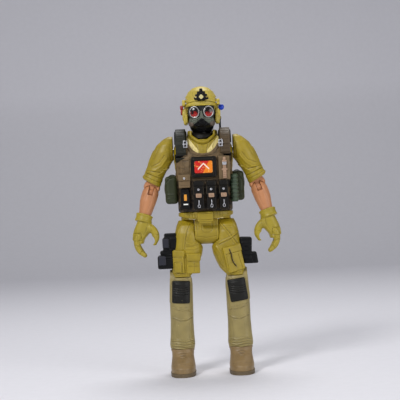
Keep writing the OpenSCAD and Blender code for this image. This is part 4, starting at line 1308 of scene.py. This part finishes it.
# %% Forearm
forearm_rings = [(57, 0, 166.2, 6.3, 6.3), (57, 0, 170, 6.9, 6.8), (57.1, 0, 174, 7.5, 7.2),
                 (57.3, 0, 180, 8.5, 8.1), (57.2, 0, 185.6, 8.7, 8.4), (57, 0, 190.6, 8.7, 8.6),
                 (57, 0, 194.6, 7.6, 7.6), (57, 0, 197.4, 5.2, 5.2), (57, 0, 198.9, 2.4, 2.4)]
forearm = melt([grow(forearm_rings, 2, 36), ball(4.6, (60.6, 0, 180), (1, 1, 1.7)),
                ball(4, (53, 2, 182), (1, 1, 1.8))], 0.5, 6)
forearm = carve(forearm, peg(5.8, 5.4, ELBOW_AT, (0, 90, 0), 0.1, 40),
                slab((5.4, 20, 20), (57, -10, 197.1), edge=0.1),
                slab((5.4, 8, 12), (57, 1, 195.6), edge=0.1),
                slab((5.4, 5, 20), (57, 2.4, 200), edge=0.1),
                peg(1.4, 30, ELBOW_AT, (0, 90, 0), 0.05), peg(3.1, 10, (57, 0, 166), edge=0.05))
draw(forearm, [(60.6, 186), (61.4, 178), (60.6, 171)], 2, -0.25)
draw(forearm, [(54.4, 186), (54, 178), (55, 171)], 2, -0.25)
turned(forearm, ELBOW, FORWARD, SPLAY)
print("forearm", len(forearm.data.polygons), "faces")

# %% [markdown]
# ## The gloves
# Each fist is open enough to grip a rod. The palm is grown, every finger is a tapering rope, and the
# thumb curls in front. A knuckle guard and the stitched cuff band are raised on the back of the hand.

# %% Palm, fingers and thumb
palm = grow([(64.2, -3.4, 164, 6.8, 7), (64.8, -3.2, 159.4, 8, 8), (67, -2.4, 153, 8.8, 8.8),
             (69.2, -2, 147.4, 8.4, 9), (70.6, -2, 142, 5.6, 8.8), (70.8, -2, 138, 4.6, 8.6)], 2.6, 32)
hand = [palm]
FINGER_TAPER = [1, 1, 0.95, 0.85, 0.66]
for number in range(4):
    y = -9 + 4.5 * number
    tip = (0.6, 0, 0.6, 2.2)[number]
    hand.append(tube([spot(69.6, y, 147.6), spot(72.6, y, 143), spot(72.8, y, 136),
                      spot(70.4, y, 130 + tip * 0.6), spot(65.4 + tip, y * 0.94, 125.4 + tip)],
                     3.5, FINGER_TAPER))
    hand.append(ball(2.3, (65.4 + tip, y * 0.94, 125.4 + tip)))
hand.append(tube([spot(62, -5, 156), spot(58.6, -7, 154.4), spot(54.4, -7.6, 149.8),
                  spot(53.2, -7.4, 143.6), spot(55, -7, 138.6)], 4, [1.2, 1.05, 1, 0.95, 0.75]))
hand += [ball(3, (55, -7, 138.6)), ball(5.4, (61, -5, 153.4), (1.3, 1, 1)),
         slab((4, 13, 8.6), (75.4, -2, 145.4), (0, -8, 0), edge=1.4)]
hand = melt(hand, 0.45, 4)
print("hand", len(hand.data.polygons), "faces")

# %% Cuff and grip
cuff_band = [peg(8.5, 8.6, (64.12, -3.42, 164), edge=0.9, sides=48),
             hoop(8.2, 0.9, (64.12, -3.42, 167.2), turn=(0, 0, 0)),
             hoop(8.2, 0.9, (64.12, -3.42, 160.8), turn=(0, 0, 0))]
cuff_band = turned(melt(cuff_band, 0.45, 2), WRIST, FORWARD, SPLAY)
hand = melt([hand, cuff_band], 0.45, 2)
hand = carve(hand, peg(5.3, 60, (59.72, -3.42, 140.8), (90, 0, 0), 0.1, 48),
             turned(peg(6.75, 8, (64.12, -3.42, 171), edge=0.1, sides=40), WRIST, FORWARD, SPLAY))

# %% Seams of the glove, and the wrist post
for x0, z0, x1, z1 in ((68.6, 149.4, 77, 149), (67.8, 141.4, 76.6, 141)):
    draw(hand, [(x0, z0), (x1, z1)], 1.2, -0.6)
draw(hand, [(68.4, 149), (67.6, 141.6)], 1.1, -0.6)
draw(hand, [(72.2, 148), (72, 142)], 0.9, -0.35)
draw(hand, [(70.4, 135.6), (76, 137)], 1.1, -0.6)
draw(hand, [(67, 131.4), (70.4, 127.4)], 1.1, -0.6)
draw(hand, [(58, 151), (57.4, 157)], 1.1, -0.5)
draw(hand, [(50, 147), (55.4, 146.4)], 1, -0.5)
draw(hand, [(61, 160), (62.6, 152), (66, 147)], 1.4, -0.35)
for y in (-6.6, -2.2, 2.2):
    draw(hand, [(y, 141), (y, 130), (y, 126)], 1.3, -0.6, "inner")
post = turned(peg(2.9, 11.6, (64.12, -3.42, 169.1), sides=32), WRIST, FORWARD, SPLAY)
pick(hand, post)
bpy.ops.object.join()

# %% Both arms
for piece, name, body, slot, node in (
        (sleeve, "sleeve", "arm", "olive", "upper_arm"),
        (elbow, "elbow_skin", "arm", "skin", "elbow_link"),
        (forearm, "forearm_skin", "lower_arm", "skin", "forearm"),
        (hand, "glove", "fist", "glove", "hand")):
    finished(mirrored(piece), "right_" + name, "right_" + body, slot, "right_" + node)
    finished(piece, "left_" + name, "left_" + body, slot, "left_" + node)

# %% [markdown]
# ## The legs
# Thigh and shin are grown the same way. The hollow at the hip, the fork for the knee and the fold behind
# it are cut out before melting, so the legs still swing. Straps, seams and pockets are then raised on the
# cloth.

# %% Thigh
HIP_Z, KNEE_X, KNEE_Z = 147, 29.5, 99
thigh_rings = [(27.4, 0, 101.6, 12, 12.4), (25.6, 0, 108, 13, 12.9), (23.2, 0, 116, 14.4, 13.2),
               (21.4, 0, 124, 15.6, 13.3), (20.4, 0, 131, 15.8, 13.2), (20.6, 0, 137, 14.4, 13),
               (21.4, 0, 147, 12, 12.8), (20.8, 0, 155, 10.6, 10.6), (20.4, 0, 160.4, 8.6, 4.4)]
thigh = grow(thigh_rings, 2.6, 40)
fold_room = carve(peg(17, 80, (20, 0, KNEE_Z), (0, 90, 0), 0.1, 64),
                  slab((90, 30, 60), (20, -15, KNEE_Z), edge=0.05))
thigh = carve(thigh, peg(13.5, 24, (0.6, 0, HIP_Z), (0, 90, 0), 0.1, 64),
              slab((24, 60, 30), (0.6, 0, HIP_Z + 15), edge=0.05),
              peg(10.5, 80, (20, 0, KNEE_Z), (0, 90, 0), 0.1, 64), fold_room)
tongue = [peg(6.9, 7.8, (KNEE_X, 0, KNEE_Z), (0, 90, 0), 0.2, 40),
          slab((7.8, 12, 18), (KNEE_X, 0, KNEE_Z + 9), edge=0.2)]
thigh = melt([thigh] + tongue, 0.55, 3)
thigh = carve(thigh, peg(2.55, 24, (11.6, 0, HIP_Z), (0, 90, 0), 0.05),
              peg(2.1, 30, (KNEE_X, 0, KNEE_Z), (0, 90, 0), 0.05))
for seen in ("front", "back"):
    draw(thigh, [(17, 104.4), (25, 103.4), (39, 106)], 1.2, 0.5, seen)
    draw(thigh, [(13.6, 112), (17.6, 106)], 2, 0.5, seen)
right_thigh = mirrored(thigh)
left_thigh = thigh
print("thigh", len(thigh.data.polygons), "faces")

# %% Straps and creases on each thigh
for line, width, height in (
        ([(13.8, 157), (22.4, 145.4), (34, 127.6)], 2.4, 0.7),
        ([(34.4, 148), (24.4, 140.6), (12, 135.4)], 2.4, 0.7),
        ([(15.4, 157), (23.6, 146.2), (35, 129.6)], 0.8, -0.5),
        ([(34.4, 146), (24.4, 139), (12, 133.6)], 0.8, -0.5),
        ([(9, 132), (14, 124), (15, 116)], 3, 0.6), ([(7, 127), (11.6, 119)], 2, -0.5),
        ([(11, 121), (15.4, 112)], 2.2, 0.5), ([(16, 150), (20, 152), (27, 152.6)], 2, 0.4),
        ([(27, 158), (31, 150)], 2.4, 0.5), ([(10.8, 117), (15, 110)], 1.4, -0.5)):
    draw(left_thigh, line, width, height)
for line, width, height in (
        ([(-16.1, 157.7), (-19.6, 151), (-22.2, 141.6), (-23.8, 130.6)], 1, -0.5),
        ([(-17.6, 157.7), (-21, 151), (-23.8, 141.6), (-25.6, 130.6)], 2, 0.5),
        ([(-11.8, 137), (-16, 135), (-21, 136.4)], 2.4, 0.6),
        ([(-8, 133), (-14, 130.4), (-22, 131)], 2.2, 0.5),
        ([(-10, 135), (-16, 132.6), (-22, 133.6)], 1.2, -0.5),
        ([(-15, 150), (-19, 146), (-21, 141)], 3, 0.5),
        ([(-24, 158), (-29, 151), (-31.6, 144)], 3, 0.5),
        ([(-7, 118), (-12, 115.4), (-17, 116.6)], 2, 0.5)):
    draw(right_thigh, line, width, height)
for one in (left_thigh, right_thigh):
    side = 1 if one is left_thigh else -1
    draw(one, [(side * 14, 146), (side * 24, 142), (side * 32, 146)], 2.4, 0.5, "back")
    draw(one, [(side * 10, 126), (side * 20, 122), (side * 34, 125)], 2.4, 0.5, "back")
    draw(one, [(side * 22, 158), (side * 22, 120)], 0.9, -0.4, "back")
finished(right_thigh, "right_trouser_thigh", "right_upper_leg", "olive", "right_thigh")
finished(left_thigh, "left_trouser_thigh", "left_upper_leg", "olive", "left_thigh")

# %% [markdown]
# ## Shins and knee pads
# The shin ends in a fork round the knee pin, with room behind and above for the bend. A frame stitched to
# the cloth holds the black pad. The pad is a block with level ribs, and its sides are bent back towards
# the shin, so it wraps the knee as rubber does.

# %% Shin
shin_rings = [(30.5, 0, 27, 12.6, 12.8), (30.4, 0, 31, 13.2, 13.4), (30.2, 0, 40, 12.5, 12.8),
              (30, 0.6, 54, 12, 13), (29.8, 0.6, 70, 12.2, 13), (29.6, 0, 84, 12.2, 12.4),
              (29.5, 0, 93, 11.9, 12), (29.5, 0, 101, 11.3, 11.6)]
shin = grow(shin_rings, 2.6, 40)
behind = carve(slab((80, 30, 29), (29.5, 15, KNEE_Z + 5.5), edge=0.05),
               peg(10, 90, (29.5, 0, KNEE_Z), (0, 90, 0), 0.1, 64))
above = carve(slab((80, 11.6, 21), (29.5, -4.8, KNEE_Z + 9.5), edge=0.05),
              peg(10, 90, (29.5, 0, KNEE_Z), (0, 90, 0), 0.1, 64))
shin = carve(shin, behind, above)
shin = melt([shin, peg(10, 21.6, (KNEE_X, 0, KNEE_Z), (0, 90, 0), 0.3, 64)], 0.55, 3)
shin = carve(shin, peg(7.4, 8.4, (KNEE_X, 0, KNEE_Z), (0, 90, 0), 0.1, 48),
             slab((8.4, 46.4, 20), (KNEE_X, 16.8, KNEE_Z + 10), edge=0.05),
             slab((8.4, 40, 27.4), (KNEE_X, 20, KNEE_Z + 6.3), edge=0.05),
             peg(1.9, 40, (KNEE_X, 0, KNEE_Z), (0, 90, 0), 0.05))
right_shin = mirrored(shin)
left_shin = shin
print("shin", len(shin.data.polygons), "faces")


# %% Knee frames, shin folds and pads
def frame_points(side, tilt, points):
    """Places points of the knee frame, leaned with its pad."""
    swing = math.radians(tilt)
    return [(side * (KNEE_X + x * math.cos(swing) - z * math.sin(swing)),
             FRAME_Z + z * math.cos(swing) + x * math.sin(swing)) for x, z in points]


FRAME_Z = 85.6
FRAME_EDGE = [(-11.6, 14.6), (11.4, 14.6), (12, -11), (2, -18), (-12, -18.6)]
FRAME_SEAM = [(-11.4, 14), (11, 14.4), (12, -10), (4, -16.6), (-6, -19), (-11.6, -17), (-11.4, 14)]
FRAME_STITCHES = [(-10.4, 13.4), (10.4, 13.4), (10.8, -10.4), (3, -15.4), (-10.4, -16)]
PAD_WRAP = 23
pads = []
for one, side, tilt in ((right_shin, -1, 3), (left_shin, 1, 8)):
    raise_patch(one, frame_points(side, tilt, FRAME_EDGE), 0.45, 0.7)
    draw(one, frame_points(side, tilt, FRAME_SEAM), 1, -0.35)
    draw(one, frame_points(side, tilt, FRAME_STITCHES), 0.7, -0.4, dash=1.1)
    draw(one, [(side * 17, 62), (side * 24, 57.6), (side * 31, 57), (side * 42, 61.6)], 1.3, 0.55)
    draw(one, [(side * 17, 60.6), (side * 24, 56), (side * 31, 55.4), (side * 42, 60)], 0.8, -0.5)
    draw(one, [(side * 17.4, 66), (side * 30, 67), (side * 42, 72)], 1.2, 0.5)
    draw(one, [(side * 22, 53), (side * 23, 42), (side * 22, 36)], 1.4, -0.25)
    draw(one, [(side * 36, 52), (side * 35, 40)], 1.6, 0.3)
    for number, height in enumerate((36, 33.4, 30.6, 28.2)):
        bend = (-1) ** number
        for seen in ("front", "back"):
            draw(one, [(side * 17, height + bend), (side * 26, height - 1.4),
                       (side * 35, height + 0.4 * bend), (side * 44, height - bend)], 1.8, 0.7, seen)
    draw(one, [(side * 30, 90), (side * 30, 40)], 0.9, -0.4, "back")
    draw(one, [(side * 18, 70), (side * 30, 66), (side * 42, 69)], 2.4, 0.5, "back")
    pad = melt([slab((18.8, 3.4, 23.6), (side * KNEE_X, -13.1, 86.2), (0, -tilt * side, 0), 1.5),
                slab((15, 4, 19.6), (side * KNEE_X, -13.2, 86.2), (0, -tilt * side, 0), 1.8)], 0.42, 3)
    for height, width in ((90.4, 1.4), (88.2, 1.2), (86, 1.6), (83.4, 1.2)):
        draw(pad, [(side * (KNEE_X - 7.4), height + 0.4), (side * KNEE_X, height - 0.6),
                   (side * (KNEE_X + 7.4), height + 0.6)], width, -0.5)
    for corner in pad.data.vertices:
        corner.co.y += PAD_WRAP * (abs(corner.co.x) - KNEE_X * MM) ** 2
    cut = grow([(side * x, y, z, w - 0.1, d - 0.1) for x, y, z, w, d in shin_rings], 2.6, 40)
    pads.append(carve(pad, cut))

# %% Both shins and knee pads
# The shins take the olive with painted haze of light over it.
finished(right_shin, "right_trouser_shin", "right_lower_leg", "olive", "right_shin", look="hazed_olive")
finished(left_shin, "left_trouser_shin", "left_lower_leg", "olive", "left_shin", look="hazed_olive")
# Black rubber with a painted pale highlight on its ribs and ridges.
finish["pad"] = moulded("knee_pad_rubber", linear(15, 14, 9), groove=0.3,
                        ridge_highlight=linear(84, 80, 52), shine=0.3)
finished(pads[0], "right_knee_cap", "right_lower_leg", "black", "right_knee_pad", look="pad")
finished(pads[1], "left_knee_cap", "left_lower_leg", "black", "left_knee_pad", look="pad")

# %% [markdown]
# ## The boots
# The boots are desert boots: a flat grooved sole, a stitched toe cap, and a laced front under a padded
# collar. Boot and sole are cast in different rubbers, so the sole is a separate piece with a row of
# grooves cut across it.

# %% Boots
boot = [grow([(30.5, -7.6, 3, 12.6, 24.2), (30.5, -7.4, 9, 12.8, 24), (30.5, -5.4, 14, 12, 20.4),
              (30.5, -1.4, 19, 11.4, 15.2), (30.5, 0.2, 23, 11.6, 13),
              (30.5, 0.4, 27, 11.9, 12.5)], 2.4, 40),
        peg(10.4, 5, (30.5, -20.6, 8), edge=2, sides=40),
        hoop(11.2, 1.4, (30.5, 0.4, 25.4), (1, 1.04, 1), (0, 0, 0))]
boot = melt(boot, 0.6, 4)
draw(boot, [(-30, 7), (-22, 11.6), (-16, 17)], 1.2, -0.5, "outer")
draw(boot, [(-30, 7), (-22, 11.6), (-16, 17)], 1.2, -0.5, "inner")
draw(boot, [(4, 4), (5, 14), (3, 22)], 1.2, -0.5, "outer")
draw(boot, [(21, 11), (30.5, 13.6), (40, 11)], 1.2, -0.6)
laces = [tube([spot(26.4, -19.6 + 2.2 * row, 13.4 + 2.6 * row),
               spot(30.5, -21.4 + 2.2 * row, 14 + 2.6 * row),
               spot(34.6, -19.6 + 2.2 * row, 13.4 + 2.6 * row)], 0.7) for row in range(4)]
boot = melt([boot] + laces, 0.5, 1)
print("boot", len(boot.data.polygons), "faces")

# %% Sole, and both boots
sole = grow([(30.5, -8.2, 0, 12.9, 24.6), (30.5, -8.2, 3.4, 13.2, 25),
             (30.5, -8.2, 3.9, 12.6, 24.4)], 2.6, 48)
grooves = [slab((40, 1.4, 1.6), (30.5, -28 + 4.6 * row, 0.4), edge=0.1) for row in range(10)]
sole = carve(sole, *grooves)
finish["sole"] = moulded("boot_sole_rubber", linear(92, 78, 56), rough=0.6)
for piece, name, look, nodes in ((boot, "desert_boot", "boot", ["boot"]), (sole, "boot_sole", "sole", [])):
    finished(mirrored(piece), "right_" + name, "right_lower_leg", "boot", *["right_" + n for n in nodes],
             look=look)
    finished(piece, "left_" + name, "left_lower_leg", "boot", *["left_" + n for n in nodes], look=look)

# %% [markdown]
# ## Pockets, thigh pouches and holster
# The pockets are boxes with a flap, pressed onto the cloth. The black pouches and the holster are shaped
# the same way, and a copy of the thigh is cut out of each one so that it sits snugly.


# %% Cargo pockets
def thigh_copy(side):
    """A slightly thinner thigh, for cutting gear to fit."""
    return grow([(side * x, y, z, wide - 0.5, deep - 0.5) for x, y, z, wide, deep in thigh_rings], 2.6, 40)


outer_pocket = [slab((13, 6, 24), (-30, -10.2, 117.6), (0, 0, -26), 1.2),
                slab((13.4, 6.6, 6.6), (-29.2, -10.8, 126.4), (0, 4, -26), 1.2),
                slab((8, 5, 11), (-31, -12, 111.6), (0, 0, -26), 1)]
inner_pocket = [slab((14, 4, 19), (-15.6, -12.4, 114.4), (0, 0, 6), 1.2),
                slab((15, 4.6, 8), (-15, -12.8, 122), (0, 0, 6), 1.2)]
right_pockets = melt(outer_pocket + inner_pocket, 0.5, 3)
for line in ([(-36.4, 122.4), (-23.6, 121.2)], [(-22.7, 117.6), (-7.8, 116.4)],
             [(-35, 117), (-27, 116.4), (-27.4, 106)], [(-22.8, 113), (-10, 112)],
             [(-14.4, 117), (-14.6, 107)]):
    draw(right_pockets, line, 0.9, -0.5)
draw(right_pockets, [(-35.6, 129.4), (-23.8, 128.6), (-23.8, 123)], 0.6, -0.3, dash=1)
draw(right_pockets, [(-21.6, 125), (-8, 123.6)], 0.6, -0.3, dash=1)
carve(right_pockets, thigh_copy(-1))
finished(right_pockets, "right_trouser_pockets", "right_upper_leg", "olive", "right_cargo_pockets")

# %% Left pocket and its cord
left_pocket = [slab((19.4, 6, 26.4), (26.6, -11.4, 118.6), (0, -12, 16), 1.2),
               slab((20, 6.6, 8), (25, -11.8, 128.4), (0, -12, 16), 1.2),
               slab((8, 6, 10), (24.4, -12.4, 109.4), (0, -12, 16), 1)]
left_pocket = melt(left_pocket, 0.5, 3)
for line in ([(15.4, 122.4), (34, 126.2)], [(19.6, 121), (21.6, 105)], [(31.4, 124), (36, 108)]):
    draw(left_pocket, line, 0.9, -0.5)
draw(left_pocket, [(15.6, 131.4), (33.4, 134.6), (34.6, 127.6)], 0.6, -0.3, dash=1)
carve(left_pocket, thigh_copy(1))
finished(left_pocket, "left_trouser_pocket", "left_upper_leg", "olive", "left_cargo_pocket")
cord = tube([spot(22.6, -16.6, 128.8), spot(24.4, -16, 122.4), spot(24.8, -16, 119),
             spot(26.4, -15.6, 114.4), spot(29.4, -15.2, 110.8)], 0.55)
finished(cord, "pocket_cord", "left_upper_leg", "brown", look="dark")

# %% [markdown]
# ## Black gear on the thighs
# A twin pouch hangs on the right thigh and a holster on the left. Both are stacks of rounded blocks
# melted together, and a round bite is taken out of each near the knee, so the shin can swing up behind
# them.

# %% Twin pouch
twin = [slab((15.6, 17, 14.6), (-38.6, -1, 136), edge=1.8), slab((13.6, 15, 5), (-38, -1, 145), edge=1.4),
        slab((17.6, 18.6, 22), (-43.6, -1, 113.6), edge=2), slab((18, 15, 4), (-40.6, -1, 127.4), edge=1.2),
        slab((9, 15, 30), (-35.4, -1, 120), edge=1.4)]
twin = melt(twin, 0.55, 3)
twin = carve(twin, thigh_copy(-1), peg(15.6, 100, (-20, 0, KNEE_Z), (0, 90, 0), 0.1, 64))
for line in ([(-46.6, 131.4), (-31, 131)], [(-52, 121.6), (-36, 121)], [(-52, 107), (-37, 107)],
             [(-38.6, 143), (-38.8, 130)]):
    draw(twin, line, 1.1, -0.6)
    draw(twin, line, 1.1, -0.6, "back")
finished(twin, "thigh_twin_pouch", "right_upper_leg", "black", "leg_pouches")
finish["slate"] = moulded("slate_paint", linear(26, 27, 38), groove=0.4, ridge=1.6, rough=0.4)
buckle_plates = melt([slab((6.6, 2.2, 9.6), (-43.4, -9.6, 137.4), edge=0.8),
                      slab((7.4, 2.2, 9.6), (-47.4, -10.6, 119.4), edge=0.8)], 0.35, 2)
finished(buckle_plates, "pouch_buckle_plates", "right_upper_leg", "black", look="slate")

# %% Holster
holster = [slab((13, 15, 24), (39.8, -1, 128.4), (0, 3, 0), 2),
           slab((15.4, 13, 15), (44.4, -1, 116.6), (0, -8, 0), 2.2),
           slab((7, 12, 20), (36.4, -1, 122), edge=1.4), slab((10, 16, 3.4), (40.4, -1, 133.8), edge=1)]
holster = melt(holster, 0.55, 3)
holster = carve(holster, thigh_copy(1), peg(15.6, 100, (20, 0, KNEE_Z), (0, 90, 0), 0.1, 64))
for line in ([(36.9, 130.4), (45, 131)], [(36.9, 126), (47, 126.6)], [(38, 121.4), (50, 121)],
             [(46, 118), (49, 111)]):
    draw(holster, line, 1.2, -0.6)
    draw(holster, line, 1.2, -0.6, "back")
finished(holster, "thigh_holster", "left_upper_leg", "black", "left_holster")

# %% [markdown]
# ## The parts that stay as they are
# Pins, screws, pegs and the dark hood inside the helmet are plain shapes, and the frame already has them
# at full detail. They only need paint, which their slot in the frame's record names.

# %% Finishes for the parts that keep their frame shape
slots = {s["node"]: s["material_slot"] for s in frame["record"]["subparts"]}
for name, node in frame["nodes"].items():
    node.data.materials.clear()
    node.data.materials.append(finish[slots[name]])
print(len(slots), "slots")
